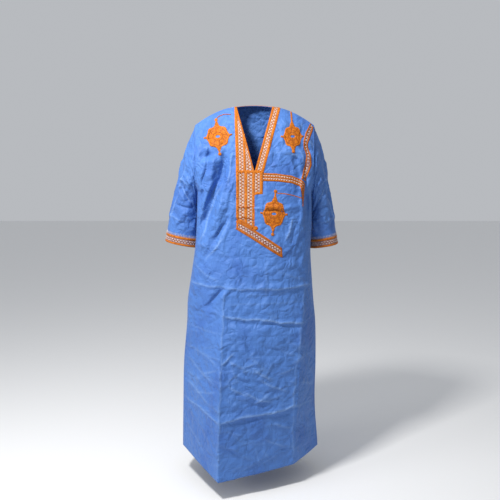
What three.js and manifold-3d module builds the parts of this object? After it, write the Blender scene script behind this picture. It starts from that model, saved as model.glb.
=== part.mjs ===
// A long V-necked robe of stiff polished cotton, in the hollow form that it takes when worn: front and back,
// two wide sleeves that hang a little behind the body, embroidered neck, placket, pocket and cuff bands, and
// three embroidered medallions. Millimetres, +Z up, the front faces -Y, and the wearer's right is -X.
// The origin is midway between the two neck points of the shoulders, where the robe is held up.
import * as THREE from "three";
import Module from "manifold-3d";

const wasm = await Module();
wasm.setup();

// Cloth and seams
const CLOTH = 1.6; // thickness of the robe's wall
const SEAM = 0.3; // gap between two pieces at a seam, and under a piece that lies on another
const POCKET_CLOTH = 1.2;
const EMBROIDERY = 1.6;

// Main sizes
const NECK_HALF = 71; // half the width of the neck opening at the shoulders
const NECK_BACK = 50; // how far the back neck curve lies behind the shoulder line
const NECK_RISE = 8; // how much higher the middle of the back neck is
const UNDERARM_Z = -330;
const SHOULDER_HALF = 236; // from the middle to the top of the armhole
const SHOULDER_DROP = 0.0122; // the shoulder falls by this times the way from the neck, to the power below
const SHOULDER_POWER = 1.7;
const SHOULDER_Y = 12; // the shoulder seam's place, front to back
const SIDE_Y = -25; // the side seam's place, front to back
const HEM_LIFT = { left: 40, crease1: 0, crease2: 15, right: 40 }; // rise of the hem from its lowest corner
const SIDE_ROUND = 2.3; // exponent of the rounded sections
const CHEST_ROUND = 1.7; // exponent of the curve from the chest up to the shoulder
const BACK_ROUND = 2.6;
const FRONT_BOW = 58; // how far the armhole bows forward of the side seam
const BACK_BOW = 92; // and behind it
const BOW_POWER = 0.75; // below 1, the bow is widest below the middle of the armhole
const ARM_ARCH = 1.25; // exponent of the chest's level sections beside the armhole
const ARM_ARCH_RISE = 0.25; // the share of the armhole's height in which they reach it
const PANEL_BULGE = 7; // how far the pressed panels of the skirt bow outwards

// Horizontal sections from the hem up to the underarm. left and right are the side seams' x, front and back
// the depths of the rounded section. The skirt's two pressed creases stand at (x1, y1) and (x2, y2), and box
// says how much of the section is the pressed box rather than the rounded form.
const SECTIONS = [
  { z: -1426, left: -296, right: 262, front: 236, back: 172, x1: -139, y1: -305, x2: 154, y2: -166, box: 1 },
  { z: -1190, left: -292, right: 248, front: 226, back: 164, x1: -137, y1: -282, x2: 167, y2: -163, box: 1 },
  { z: -1022, left: -287, right: 250, front: 212, back: 156, x1: -135, y1: -246, x2: 178, y2: -153, box: 1 },
  { z: -862, left: -273, right: 247, front: 196, back: 148, x1: -128, y1: -212, x2: 187, y2: -142, box: 0.8 },
  { z: -768, left: -269, right: 238, front: 185, back: 141, x1: -121, y1: -190, x2: 192, y2: -130, box: 0.5 },
  { z: -664, left: -253, right: 230, front: 176, back: 132, x1: -115, y1: -174, x2: 191, y2: -112, box: 0.1 },
  { z: -560, left: -238, right: 224, front: 168, back: 120, x1: -113, y1: -160, x2: 188, y2: -100, box: 0 },
  { z: -470, left: -231, right: 228, front: 158, back: 112, x1: -112, y1: -150, x2: 184, y2: -100, box: 0 },
  { z: -330, left: -226, right: 226, front: 140, back: 112, x1: -112, y1: -130, x2: 179, y2: -90, box: 0 },
];

// Rows of the body's mesh: levels below the underarm, most of them on a pressed crease, then steps of the
// angle that runs from 0 at the underarm to 90 degrees at the shoulder.
const SKIRT_LEVELS = [
  -1426, -1401, -1300, -1190, -1110, -1030, -955, -884, -822, -760, -697, -638, -581, -542, -505, -470, -434,
  -412, -393, -360, -330,
];
const CHEST_ANGLES = [5, 11, 16.8, 23, 30, 37, 44, 51, 58, 65, 72, 79, 85.5, 90];
const V_ROW_ANGLE = 16.8; // the row on which the V of the neck starts

const FRONT_COLUMNS = 34;
const CREASE1_COLUMN = 10;
const CREASE2_COLUMN = 26;
const BACK_COLUMNS = 18;
const NECK_COLUMNS = 4; // columns from the middle of the back to each neck point
const LOW_NECK_SHARE = 0.4; // how far out those columns stand at the underarm, where no neck is near

// Folds of the front: soft troughs (depth above 0) and ridges (below 0), on a line from (x1, z1) to (x2, z2)
const FRONT_FOLDS = [
  { part: "trough, chest to side", x1: -104, z1: -196, x2: -206, z2: -500, width: 28, depth: 28 },
  { part: "ridge beside that trough", x1: -66, z1: -236, x2: -160, z2: -500, width: 22, depth: -10 },
  { part: "trough under the right medallion", x1: -214, z1: -196, x2: -140, z2: -180, width: 15, depth: 11 },
  { part: "pull from the right neck", x1: -120, z1: -40, x2: -190, z2: -150, width: 12, depth: 6 },
  { part: "thin fold to the side", x1: -100, z1: -432, x2: -160, z2: -540, width: 10, depth: 8 },
  { part: "thin fold over the hip", x1: -112, z1: -674, x2: -184, z2: -772, width: 10, depth: 8 },
  { part: "trough under the left medallion", x1: 146, z1: -190, x2: 196, z2: -262, width: 24, depth: 14 },
  { part: "fold across the shoulder band", x1: 172, z1: -150, x2: 240, z2: -192, width: 13, depth: 13 },
  { part: "pull from the left neck", x1: 196, z1: -60, x2: 172, z2: -122, width: 11, depth: 6 },
  { part: "fold beside the left sleeve", x1: 214, z1: -320, x2: 196, z2: -470, width: 16, depth: 12 },
];
const BACK_FOLDS = [
  { part: "right shoulder blade fold", x1: -120, z1: -170, x2: -176, z2: -720, width: 26, depth: 15 },
  { part: "left shoulder blade fold", x1: 124, z1: -160, x2: 158, z2: -640, width: 24, depth: 14 },
  { part: "middle fold", x1: 12, z1: -380, x2: 34, z2: -1426, width: 34, depth: 22 },
  { part: "right skirt fold", x1: -132, z1: -640, x2: -150, z2: -1426, width: 30, depth: -20 },
  { part: "left skirt fold", x1: 138, z1: -700, x2: 128, z2: -1426, width: 28, depth: -18 },
  { part: "pull under the right arm", x1: -214, z1: -300, x2: -120, z2: -420, width: 16, depth: 9 },
  { part: "pull under the left arm", x1: 212, z1: -310, x2: 110, z2: -440, width: 16, depth: 9 },
];

// Pressed creases that run level round the robe: the wall kinks outwards (negative: inwards) by depth.
const LEVEL_CREASES = [
  { z: -393, depth: 2.5 },
  { z: -581, depth: -3 },
  { z: -697, depth: 3 },
  { z: -822, depth: -4 },
  { z: -884, depth: 3 },
  { z: -1190, depth: 6 },
];
const CREASE_REACH = 16;
const LAST_CREASE_Z = LEVEL_CREASES[LEVEL_CREASES.length - 1].z;

// Sleeves. The cuff's edge is a rounded loop from inner to outer, reaching from frontY to backY.
const SLEEVES = [
  { name: "right", side: -1, inner: 226, outer: 368, innerZ: -568, outerZ: -541, frontY: -2, backY: 172 },
  { name: "left", side: 1, inner: 226, outer: 346, innerZ: -570, outerZ: -551, frontY: -2, backY: 172 },
];
const CUFF_BAND = 42; // height of the embroidered band
const CUFF_LEAN = 0.17; // how far the sleeve leans outwards at the cuff, per unit of height
const SLEEVE_STEPS = [0, 0.05, 0.12, 0.2, 0.3, 0.41, 0.52, 0.64, 0.76, 0.88, 1]; // armhole to cuff band
const SLEEVE_ROUND = 2.3;
// How the sleeve leaves the armhole at the underarm, at the middle of its front and back, and at its top
const LEAVE = {
  underarm: { out: 85, back: 190, down: 60 },
  middle: { out: 105, back: 50, down: 210 },
  top: { out: 150, back: 10, down: 320 },
};
// Folds of a sleeve, in turns round it from the underarm over the front, and in lengths down it
const SLEEVE_FOLDS = [
  { part: "tuck at the armhole", turn1: 0.12, down1: 0.06, turn2: 0.4, down2: 0.05, width: 16, depth: 11 },
  { part: "elbow fold", turn1: 0.1, down1: 0.62, turn2: 0.34, down2: 0.5, width: 17, depth: 10 },
  { part: "upper arm fold", turn1: 0.18, down1: 0.34, turn2: 0.36, down2: 0.4, width: 15, depth: -6 },
  { part: "back elbow fold", turn1: 0.62, down1: 0.5, turn2: 0.86, down2: 0.6, width: 18, depth: 10 },
  { part: "long fold", turn1: 0.42, down1: 0.4, turn2: 0.36, down2: 0.98, width: 16, depth: 7 },
  { part: "back long fold", turn1: 0.7, down1: 0.2, turn2: 0.66, down2: 0.9, width: 18, depth: 8 },
];
const SLEEVE_GIRTH = 500;
const SLEEVE_LENGTH = 470;

// Outlines seen from the front, as [x, z]
const OUTLINES = {
  neck_band_right: [
    [-84, 40], [-80, 0], [-73, -190], [-72, -252.8], [0.1, -252.8], [0.1, 40],
  ],
  neck_band_left: [
    [0.4, 40], [0.4, -252.8], [35, -252.8], [102, -8], [106, 40],
  ],
  placket_band: [
    [-72, -253.2], [35, -253.2], [31, -338], [4, -340], [-5, -350], [-7, -474], [-70, -435],
  ],
  pocket_diagonal_band: [
    [-70, -435.5], [-70, -473], [107, -584], [103, -544],
  ],
  pocket_top_band: [
    [35.4, -257], [90, -260], [143, -268], [180, -283], [198, -296], [192, -350], [186, -388], [179, -312],
    [143, -298], [90, -291], [33.8, -289],
  ],
  shoulder_band: [
    [232, 20], [222, -40], [191, -120], [191, -160], [201, -196], [181, -281.5], [198, -294],
    [223, -228], [218, -184], [206, -152], [233, -84], [260, 20],
  ],
  pocket: [
    [33.3, -290], [90, -291.6], [143, -298.6], [178.4, -312.6], [185.6, -388], [192, -400], [192, -500],
    [108, -583], [103.6, -543.3], [-6.3, -473], [-4.4, -350.4], [4.4, -340.6], [31.6, -338.4],
  ],
};

// Medallions: a scalloped disc with a slot in its middle, on a stem that reaches up and down from its middle
// with a knob at each end
const MEDALLIONS = [
  { where: "right_shoulder", x: -143, z: -118, width: 90, height: 88, turn: 7, up: 66, down: 68 },
  { where: "left_shoulder", x: 148, z: -118, width: 72, height: 86, turn: 2, up: 112, down: 58 },
  { where: "pocket", x: 74, z: -414, width: 84, height: 104, turn: -4, up: 86, down: 78 },
];
const LOBES = 8;
const LOBE_DEPTH = 0.045; // of the disc's radius
const SLOT_WIDTH = 16;
const SLOT_HEIGHT = 9;
const STEM_WIDTH = 6.5;
const KNOB_RADIUS = 6.5;
const HORN_REACH = 4; // how far the side points stand out past the disc
const HORN_HALF = 9; // half the height of a side point at its root
const COLLAR_HALF = 12; // half the width of the collar between disc and stem
const COLLAR_UP = 18; // how far the upper collar stands out past the disc
const COLLAR_DOWN = 16;
const DISC_STEPS = 48;
const SMALL_STEPS = 12; // steps round a knob or the slot

const BLUE = 0x5b86cc;
const ORANGE = 0xc66a1a;

const lerp = (a, b, t) => a + (b - a) * t;
const clamp = (value, low, high) => Math.min(high, Math.max(low, value));
const radians = (degrees) => (degrees * Math.PI) / 180;

function smoothstep(low, high, value) {
  const t = clamp((value - low) / (high - low), 0, 1);
  return t * t * (3 - 2 * t);
}

// A column of SECTIONS at height z, on a smooth curve through its rows
function sectionValue(key, z) {
  const last = SECTIONS.length - 1;
  const height = clamp(z, SECTIONS[0].z, SECTIONS[last].z);
  let i = 0;
  while (i < last - 1 && height > SECTIONS[i + 1].z) i++;
  const slope = (k) => {
    const below = SECTIONS[Math.max(0, k - 1)];
    const above = SECTIONS[Math.min(last, k + 1)];
    return (above[key] - below[key]) / (above.z - below.z);
  };
  const span = SECTIONS[i + 1].z - SECTIONS[i].z;
  const t = (height - SECTIONS[i].z) / span;
  const from = SECTIONS[i][key] * (1 + 2 * t) * (1 - t) ** 2 + SECTIONS[i + 1][key] * t * t * (3 - 2 * t);
  return from + span * (slope(i) * t * (1 - t) ** 2 + slope(i + 1) * t * t * (t - 1));
}

// Where (x, z) lies beside a fold's line: the share of its depth that the fold has there
function foldShare(across, along, length, width) {
  const started = smoothstep(-0.14 * length, 0.24 * length, along);
  const ended = smoothstep(0.76 * length, 1.14 * length, along);
  return Math.exp(-((across / width) ** 2)) * started * (1 - ended);
}

function foldDepth(folds, x, z) {
  let depth = 0;
  for (const fold of folds) {
    const length = Math.hypot(fold.x2 - fold.x1, fold.z2 - fold.z1);
    const ux = (fold.x2 - fold.x1) / length;
    const uz = (fold.z2 - fold.z1) / length;
    const along = (x - fold.x1) * ux + (z - fold.z1) * uz;
    const across = (x - fold.x1) * uz - (z - fold.z1) * ux;
    depth += fold.depth * foldShare(across, along, length, fold.width);
  }
  return depth;
}

function creaseDepth(z) {
  let depth = 0;
  for (const crease of LEVEL_CREASES) {
    depth += crease.depth * Math.exp(-Math.abs(z - crease.z) / CREASE_REACH);
  }
  return depth;
}

// Height of the shoulder line over x
function shoulderZ(x) {
  const way = Math.max(0, Math.abs(x) - NECK_HALF);
  return -SHOULDER_DROP * way ** SHOULDER_POWER;
}

// The pressed box of the skirt: y of the section that runs straight from crease to crease
function boxY(z, x) {
  const corners = [
    [sectionValue("left", z), SIDE_Y],
    [sectionValue("x1", z), sectionValue("y1", z)],
    [sectionValue("x2", z), sectionValue("y2", z)],
    [sectionValue("right", z), SIDE_Y],
  ];
  let i = 0;
  while (i < 2 && x > corners[i + 1][0]) i++;
  const t = clamp((x - corners[i][0]) / (corners[i + 1][0] - corners[i][0]), 0, 1);
  return lerp(corners[i][1], corners[i + 1][1], t) - PANEL_BULGE * Math.sin(Math.PI * t);
}

// How far the hem is lifted there; the lift is gone at the crease above the hem
function hemLift(z, x) {
  const stops = [
    [sectionValue("left", z), HEM_LIFT.left],
    [sectionValue("x1", z), HEM_LIFT.crease1],
    [sectionValue("x2", z), HEM_LIFT.crease2],
    [sectionValue("right", z), HEM_LIFT.right],
  ];
  let i = 0;
  while (i < 2 && x > stops[i + 1][0]) i++;
  const t = (x - stops[i][0]) / (stops[i + 1][0] - stops[i][0]);
  return lerp(stops[i][1], stops[i + 1][1], t) * hemShare(z);
}

const hemShare = (z) => smoothstep(LAST_CREASE_Z, SECTIONS[0].z, z);

// Folds and creases fade out towards the side seams and the shoulder, so that seams stay smooth
function fade(share, rise) {
  return (1 - smoothstep(0.9, 1, Math.abs(share))) * (1 - smoothstep(0.8, 0.97, rise));
}

// A point of the skirt, below the underarm. share is -1 to 1, from one side seam to the other.
function skirtPoint(z, share, front) {
  const half = share < 0 ? -sectionValue("left", z) : sectionValue("right", z);
  const x = half * share;
  const round = (1 - Math.abs(share) ** SIDE_ROUND) ** (1 / SIDE_ROUND);
  if (!front) {
    const y = lerp(SIDE_Y, sectionValue("back", z), round);
    const depth = foldDepth(BACK_FOLDS, x, z) - creaseDepth(z);
    const lift = lerp(HEM_LIFT.left, HEM_LIFT.right, (share + 1) / 2) * hemShare(z);
    return new THREE.Vector3(x, y - depth * fade(share, 0), z + lift);
  }
  const rounded = lerp(SIDE_Y, -sectionValue("front", z), round);
  const y = lerp(rounded, boxY(z, x), sectionValue("box", z));
  const depth = foldDepth(FRONT_FOLDS, x, z) - creaseDepth(z);
  return new THREE.Vector3(x, y + depth * fade(share, 0), z + hemLift(z, x));
}

// A point above the underarm. angle runs from 0 there to 90 degrees at the shoulder.
function chestPoint(angle, share, front) {
  const power = 2 / (front ? CHEST_ROUND : BACK_ROUND);
  const rise = Math.sin(radians(angle)) ** power;
  const stand = angle >= 90 ? 0 : Math.cos(radians(angle)) ** power;
  const half = lerp(sectionValue("right", UNDERARM_Z), SHOULDER_HALF, rise);
  const x = half * share;
  const open = smoothstep(0, ARM_ARCH_RISE, rise);
  const arch = (1 - Math.abs(share) ** SIDE_ROUND) ** (1 / lerp(SIDE_ROUND, ARM_ARCH, open));
  const bow = Math.sin(Math.PI * rise ** BOW_POWER);
  const edge = lerp(SIDE_Y, SHOULDER_Y, rise) + bow * (front ? -FRONT_BOW : BACK_BOW);
  const neck = Math.max(0, 1 - (x / NECK_HALF) ** 2);
  const topY = front ? SHOULDER_Y : SHOULDER_Y + NECK_BACK * Math.sqrt(neck);
  const topZ = front ? shoulderZ(x) : shoulderZ(x) + NECK_RISE * neck;
  const chest = front ? -sectionValue("front", UNDERARM_Z) : sectionValue("back", UNDERARM_Z);
  const z = lerp(UNDERARM_Z, topZ, rise);
  // the chest carries on the slope that the front has below the underarm
  const slope = front ? (sectionValue("front", UNDERARM_Z - 1) - sectionValue("front", UNDERARM_Z)) : 0;
  const middle = lerp(topY, chest, stand) + slope * (z - UNDERARM_Z) * (1 - rise) ** 2;
  const depth = foldDepth(front ? FRONT_FOLDS : BACK_FOLDS, x, z) * fade(share, rise);
  return new THREE.Vector3(x, lerp(edge, middle, arch) + (front ? depth : -depth), z);
}

const ROWS = [
  ...SKIRT_LEVELS.map((z) => ({ z, angle: 0 })),
  ...CHEST_ANGLES.map((angle) => ({ z: UNDERARM_Z, angle })),
];
const UNDERARM_ROW = SKIRT_LEVELS.length - 1;
const TOP_ROW = ROWS.length - 1;
const V_ROW = UNDERARM_ROW + 1 + CHEST_ANGLES.indexOf(V_ROW_ANGLE);

const rowPoint = (row, share, front) =>
  row.angle > 0 ? chestPoint(row.angle, share, front) : skirtPoint(row.z, share, front);

// Half the width of the V at a row, as a share of the panel's half width
function neckShare(row) {
  const rise = (angle) => Math.sin(radians(angle)) ** (2 / CHEST_ROUND);
  const start = rise(V_ROW_ANGLE);
  const way = clamp((rise(row.angle) - start) / (1 - start), 0, 1);
  return (way * NECK_HALF) / SHOULDER_HALF;
}

// The shares of a front row's columns. On rows above the V, half is -1 or 1 and its inner column is the V's
// edge.
function frontShare(row, column, half) {
  const middle = FRONT_COLUMNS / 2;
  const box = row.angle > 0 ? 0 : sectionValue("box", row.z);
  const crease1 = sectionValue("x1", row.z) / -sectionValue("left", row.z);
  const crease2 = sectionValue("x2", row.z) / sectionValue("right", row.z);
  const ease = (t) => lerp(Math.sin((Math.PI / 2) * t), t, box);
  const beyond = (column - CREASE2_COLUMN) / (FRONT_COLUMNS - CREASE2_COLUMN);
  if (column <= CREASE1_COLUMN) return lerp(crease1, -1, ease(1 - column / CREASE1_COLUMN));
  if (beyond >= 0) return lerp(crease2, 1, ease(beyond));
  const edge = half * neckShare(row);
  if (half < 0) return lerp(crease1, edge, (column - CREASE1_COLUMN) / (middle - CREASE1_COLUMN));
  return lerp(edge, crease2, (column - middle) / (CREASE2_COLUMN - middle));
}

function backShare(row, column) {
  const middle = BACK_COLUMNS / 2;
  const side = Math.sign(column - middle);
  const out = Math.abs(column - middle);
  const rise = Math.sin(radians(row.angle));
  const neck = lerp(LOW_NECK_SHARE, NECK_HALF / SHOULDER_HALF, rise);
  if (out <= NECK_COLUMNS) {
    const t = out / NECK_COLUMNS;
    return side * neck * lerp(t, Math.sin((Math.PI / 2) * t), rise);
  }
  const t = (out - NECK_COLUMNS) / (middle - NECK_COLUMNS);
  return side * lerp(neck, 1, Math.sin((Math.PI / 2) * t));
}

// A sheet is a list of points with a normal each, and faces of four corners, counter-clockwise from outside
function newSheet() {
  return { points: [], normals: [], faces: [] };
}

function addPoint(sheet, point) {
  sheet.points.push(point);
  return sheet.points.length - 1;
}

function findNormals(sheet) {
  sheet.normals = sheet.points.map(() => new THREE.Vector3());
  for (const [a, b, c, d] of sheet.faces) {
    const across = sheet.points[c].clone().sub(sheet.points[a]);
    const other = sheet.points[d].clone().sub(sheet.points[b]);
    const normal = across.cross(other);
    for (const i of [a, b, c, d]) sheet.normals[i].add(normal);
  }
  for (const normal of sheet.normals) normal.normalize();
}

function makeFront() {
  const sheet = newSheet();
  const middle = FRONT_COLUMNS / 2;
  // grid[row][column], where the rows above the V have two middle columns
  const grid = ROWS.map((row, r) => {
    const line = [];
    for (let c = 0; c <= FRONT_COLUMNS; c++) {
      const half = c < middle ? -1 : 1;
      if (c === middle && r > V_ROW) line.push([
        addPoint(sheet, rowPoint(row, frontShare(row, c, -1), true)),
        addPoint(sheet, rowPoint(row, frontShare(row, c, 1), true)),
      ]);
      else {
        const i = addPoint(sheet, rowPoint(row, frontShare(row, c, half), true));
        line.push([i, i]);
      }
    }
    return line;
  });
  for (let r = 0; r < TOP_ROW; r++)
    for (let c = 0; c < FRONT_COLUMNS; c++)
      sheet.faces.push([grid[r][c][1], grid[r][c + 1][0], grid[r + 1][c + 1][0], grid[r + 1][c][1]]);
  findNormals(sheet);
  return { sheet, at: (r, c) => grid[r][c][0] };
}

function makeBack() {
  const sheet = newSheet();
  const grid = ROWS.map((row) => {
    const line = [];
    for (let c = 0; c <= BACK_COLUMNS; c++) {
      line.push(addPoint(sheet, rowPoint(row, backShare(row, c), false)));
    }
    return line;
  });
  for (let r = 0; r < TOP_ROW; r++)
    for (let c = 0; c < BACK_COLUMNS; c++)
      sheet.faces.push([grid[r][c], grid[r + 1][c], grid[r + 1][c + 1], grid[r][c + 1]]);
  findNormals(sheet);
  return { sheet, at: (r, c) => grid[r][c] };
}

// The loop of the armhole: up its front edge from the underarm, over the shoulder and down its back edge
function armhole(front, back, side) {
  const frontColumn = side < 0 ? 0 : FRONT_COLUMNS;
  const backColumn = side < 0 ? 0 : BACK_COLUMNS;
  const loop = [];
  for (let r = UNDERARM_ROW; r <= TOP_ROW; r++) {
    const meets = r === UNDERARM_ROW || r === TOP_ROW;
    loop.push({ front: front.at(r, frontColumn), back: meets ? back.at(r, backColumn) : -1 });
  }
  for (let r = TOP_ROW - 1; r > UNDERARM_ROW; r--) loop.push({ front: -1, back: back.at(r, backColumn) });
  return loop;
}

// Turns round the loop from the underarm, 0.5 at the shoulder, by the length along it
function loopTurns(points) {
  const top = points.length / 2;
  const run = (list) => {
    const sums = [0];
    for (let i = 1; i < list.length; i++) sums.push(sums[i - 1] + list[i].distanceTo(list[i - 1]));
    return sums.map((s) => s / sums[sums.length - 1] / 2);
  };
  const up = run(points.slice(0, top + 1));
  const down = run([...points.slice(top), points[0]]);
  return points.map((_, i) => (i <= top ? up[i] : 0.5 + down[i - top]));
}

function leaveVector(sleeve, turn) {
  const high = (1 - Math.cos(2 * Math.PI * turn)) / 2;
  const low = (1 - high) ** 2;
  const top = high ** 3;
  const part = (key) => {
    return low * LEAVE.underarm[key] + top * LEAVE.top[key] + (1 - low - top) * LEAVE.middle[key];
  };
  return new THREE.Vector3(sleeve.side * part("out"), part("back"), -part("down"));
}

// A point of the cuff's loop, raised above the edge along the sleeve
function cuffPoint(sleeve, turn, raised) {
  const angle = 2 * Math.PI * turn;
  const round = (value) => Math.sign(value) * Math.abs(value) ** (2 / SLEEVE_ROUND);
  const middle = (sleeve.inner + sleeve.outer) / 2;
  const reach = (sleeve.outer - sleeve.inner) / 2;
  const out = round(-Math.cos(angle));
  const depth = (sleeve.backY - sleeve.frontY) / 2;
  const y = (sleeve.backY + sleeve.frontY) / 2 - depth * round(Math.sin(angle));
  const z = lerp(sleeve.innerZ, sleeve.outerZ, (out + 1) / 2);
  const lean = CUFF_LEAN * raised * lerp(0.35, 1, (out + 1) / 2);
  return new THREE.Vector3(sleeve.side * (middle + reach * out - lean), y, z + raised);
}

function sleeveFold(turn, down) {
  let depth = 0;
  for (const fold of SLEEVE_FOLDS) {
    const turnSpan = (fold.turn2 - fold.turn1) * SLEEVE_GIRTH;
    const downSpan = (fold.down2 - fold.down1) * SLEEVE_LENGTH;
    const length = Math.hypot(turnSpan, downSpan);
    const dt = (turn - fold.turn1) * SLEEVE_GIRTH;
    const dd = (down - fold.down1) * SLEEVE_LENGTH;
    const along = (dt * turnSpan + dd * downSpan) / length;
    const across = (dt * downSpan - dd * turnSpan) / length;
    depth += fold.depth * foldShare(across, along, length, fold.width);
  }
  return depth;
}

function makeSleeve(front, back, sleeve) {
  const loop = armhole(front, back, sleeve.side);
  const start = loop.map((i) => {
    return i.front >= 0 ? front.sheet.points[i.front].clone() : back.sheet.points[i.back].clone();
  });
  const turns = loopTurns(start);
  const sheet = newSheet();
  const grid = SLEEVE_STEPS.map((t) =>
    start.map((from, j) => {
      const to = cuffPoint(sleeve, turns[j], CUFF_BAND);
      const leave = leaveVector(sleeve, turns[j]);
      const arrive = cuffPoint(sleeve, turns[j], 0).sub(to).multiplyScalar(from.distanceTo(to) / CUFF_BAND);
      const point = from.clone().multiplyScalar((1 + 2 * t) * (1 - t) ** 2);
      point.addScaledVector(leave, t * (1 - t) ** 2);
      point.addScaledVector(to, t * t * (3 - 2 * t));
      point.addScaledVector(arrive, t * t * (t - 1));
      return addPoint(sheet, point);
    }),
  );
  grid.push(start.map((_, j) => addPoint(sheet, cuffPoint(sleeve, turns[j], CUFF_BAND / 2))));
  grid.push(start.map((_, j) => addPoint(sheet, cuffPoint(sleeve, turns[j], 0))));
  for (let r = 0; r < grid.length - 1; r++)
    for (let c = 0; c < start.length; c++) {
      const next = (c + 1) % start.length;
      const face = [grid[r][c], grid[r + 1][c], grid[r + 1][next], grid[r][next]];
      sheet.faces.push(sleeve.side > 0 ? face : face.reverse());
    }
  findNormals(sheet);
  // the folds push the wall along its normals, and fade out at the armhole and at the cuff band
  SLEEVE_STEPS.forEach((t, r) => {
    const keep = smoothstep(0, 0.07, t) * (1 - smoothstep(0.86, 1, t));
    turns.forEach((turn, c) => {
      const i = grid[r][c];
      sheet.points[i].addScaledVector(sheet.normals[i], -sleeveFold(turn, t) * keep);
    });
  });
  findNormals(sheet);
  return { sheet, grid, loop };
}

// Two sheets that meet share one normal there, so that their edges face each other
function shareNormal(...pairs) {
  const sum = new THREE.Vector3();
  for (const [sheet, i] of pairs) sum.add(sheet.normals[i]);
  sum.normalize();
  for (const [sheet, i] of pairs) sheet.normals[i] = sum.clone();
}

function pullBack(sheet, i, ...towards) {
  const move = new THREE.Vector3();
  for (const j of towards) move.add(sheet.points[j].clone().sub(sheet.points[i]).normalize());
  return { i, move: move.multiplyScalar(SEAM / 2) };
}

function applyMoves(sheet, moves) {
  for (const { i, move } of moves) sheet.points[i].add(move);
}

// Parts the panels and sleeves from each other by SEAM
function partSeams(front, back, sleeves) {
  const frontMoves = [];
  const backMoves = [];
  for (const side of [-1, 1]) {
    const fc = side < 0 ? 0 : FRONT_COLUMNS;
    const bc = side < 0 ? 0 : BACK_COLUMNS;
    for (let r = 0; r <= TOP_ROW; r++) {
      frontMoves.push(pullBack(front.sheet, front.at(r, fc), front.at(r, fc - side)));
      backMoves.push(pullBack(back.sheet, back.at(r, bc), back.at(r, bc - side)));
      if (r < UNDERARM_ROW) shareNormal([front.sheet, front.at(r, fc)], [back.sheet, back.at(r, bc)]);
    }
  }
  for (const { sheet, grid, loop } of sleeves) {
    const moves = [];
    loop.forEach(({ front: f, back: b }, j) => {
      const pairs = [[sheet, grid[0][j]]];
      if (f >= 0) pairs.push([front.sheet, f]);
      if (b >= 0) pairs.push([back.sheet, b]);
      shareNormal(...pairs);
      // at the underarm the body and the sleeve fold back on each other, so there outwards is down
      if (j === 0) for (const [owner, i] of pairs) owner.normals[i].set(0, 0.1, -1).normalize();
      moves.push(pullBack(sheet, grid[0][j], grid[1][j]));
    });
    applyMoves(sheet, moves);
  }
  // along the shoulders both panels end on one plane, with upright edges
  const sides = [
    { sheet: front.sheet, moves: frontMoves, towards: -1 },
    { sheet: back.sheet, moves: backMoves, towards: 1 },
  ];
  for (const { sheet, moves, towards } of sides)
    sheet.points.forEach((point, i) => {
      if (Math.abs(point.y - SHOULDER_Y) > 1e-6 || point.z < UNDERARM_Z / 2) return;
      sheet.normals[i].setY(0).normalize();
      moves.push({ i, move: new THREE.Vector3(0, (towards * SEAM) / 2, 0) });
    });
  applyMoves(front.sheet, frontMoves);
  applyMoves(back.sheet, backMoves);
}

// The closed wall between two distances from a sheet, along its normals
function wall(sheet, inside, outside) {
  const used = [...new Set(sheet.faces.flat())];
  const place = new Map(used.map((old, i) => [old, i]));
  const count = used.length;
  const positions = [];
  for (const distance of [outside, inside])
    for (const i of used) {
      const point = sheet.points[i].clone().addScaledVector(sheet.normals[i], distance);
      positions.push(...point.toArray());
    }
  const index = [];
  const edges = new Map();
  const triangle = (a, b, c) => {
    index.push(a, b, c, c + count, b + count, a + count);
    for (const [from, to] of [[a, b], [b, c], [c, a]]) {
      if (edges.has(to + "," + from)) edges.delete(to + "," + from);
      else edges.set(from + "," + to, [from, to]);
    }
  };
  // a face is cut between the corners whose normals agree more, which keeps folds smooth
  for (const [a, b, c, d] of sheet.faces) {
    const agree = sheet.normals[a].dot(sheet.normals[c]) >= sheet.normals[b].dot(sheet.normals[d]);
    const [p, q, r, s] = [a, b, c, d].map((i) => place.get(i));
    if (agree) {
      triangle(p, q, r);
      triangle(p, r, s);
    } else {
      triangle(p, q, s);
      triangle(q, r, s);
    }
  }
  // rims are cut from the lower point's outer corner to the higher one's inner corner, so that the rims of two
  // walls that meet twist alike
  for (const [from, to] of edges.values()) {
    if (sheet.points[used[from]].z < sheet.points[used[to]].z) {
      index.push(to, from, to + count, from, from + count, to + count);
    } else {
      index.push(to, from, from + count, to, from + count, to + count);
    }
  }
  return new THREE.BufferGeometry()
    .setAttribute("position", new THREE.Float32BufferAttribute(positions, 3))
    .setIndex(index);
}

function solidOf(geometry) {
  return new wasm.Manifold(
    new wasm.Mesh({
      numProp: 3,
      vertProperties: new Float32Array(geometry.attributes.position.array),
      triVerts: new Uint32Array(geometry.index.array),
    }),
  );
}

// The largest body of a cut, as the crumbs that a cut leaves at an edge aren't part of the piece
function geometryOf(solid) {
  const bodies = solid.decompose().sort((a, b) => b.volume() - a.volume());
  const mesh = bodies[0].getMesh();
  return new THREE.BufferGeometry()
    .setAttribute("position", new THREE.BufferAttribute(new Float32Array(mesh.vertProperties), 3))
    .setIndex(new THREE.BufferAttribute(new Uint32Array(mesh.triVerts), 1));
}

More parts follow.
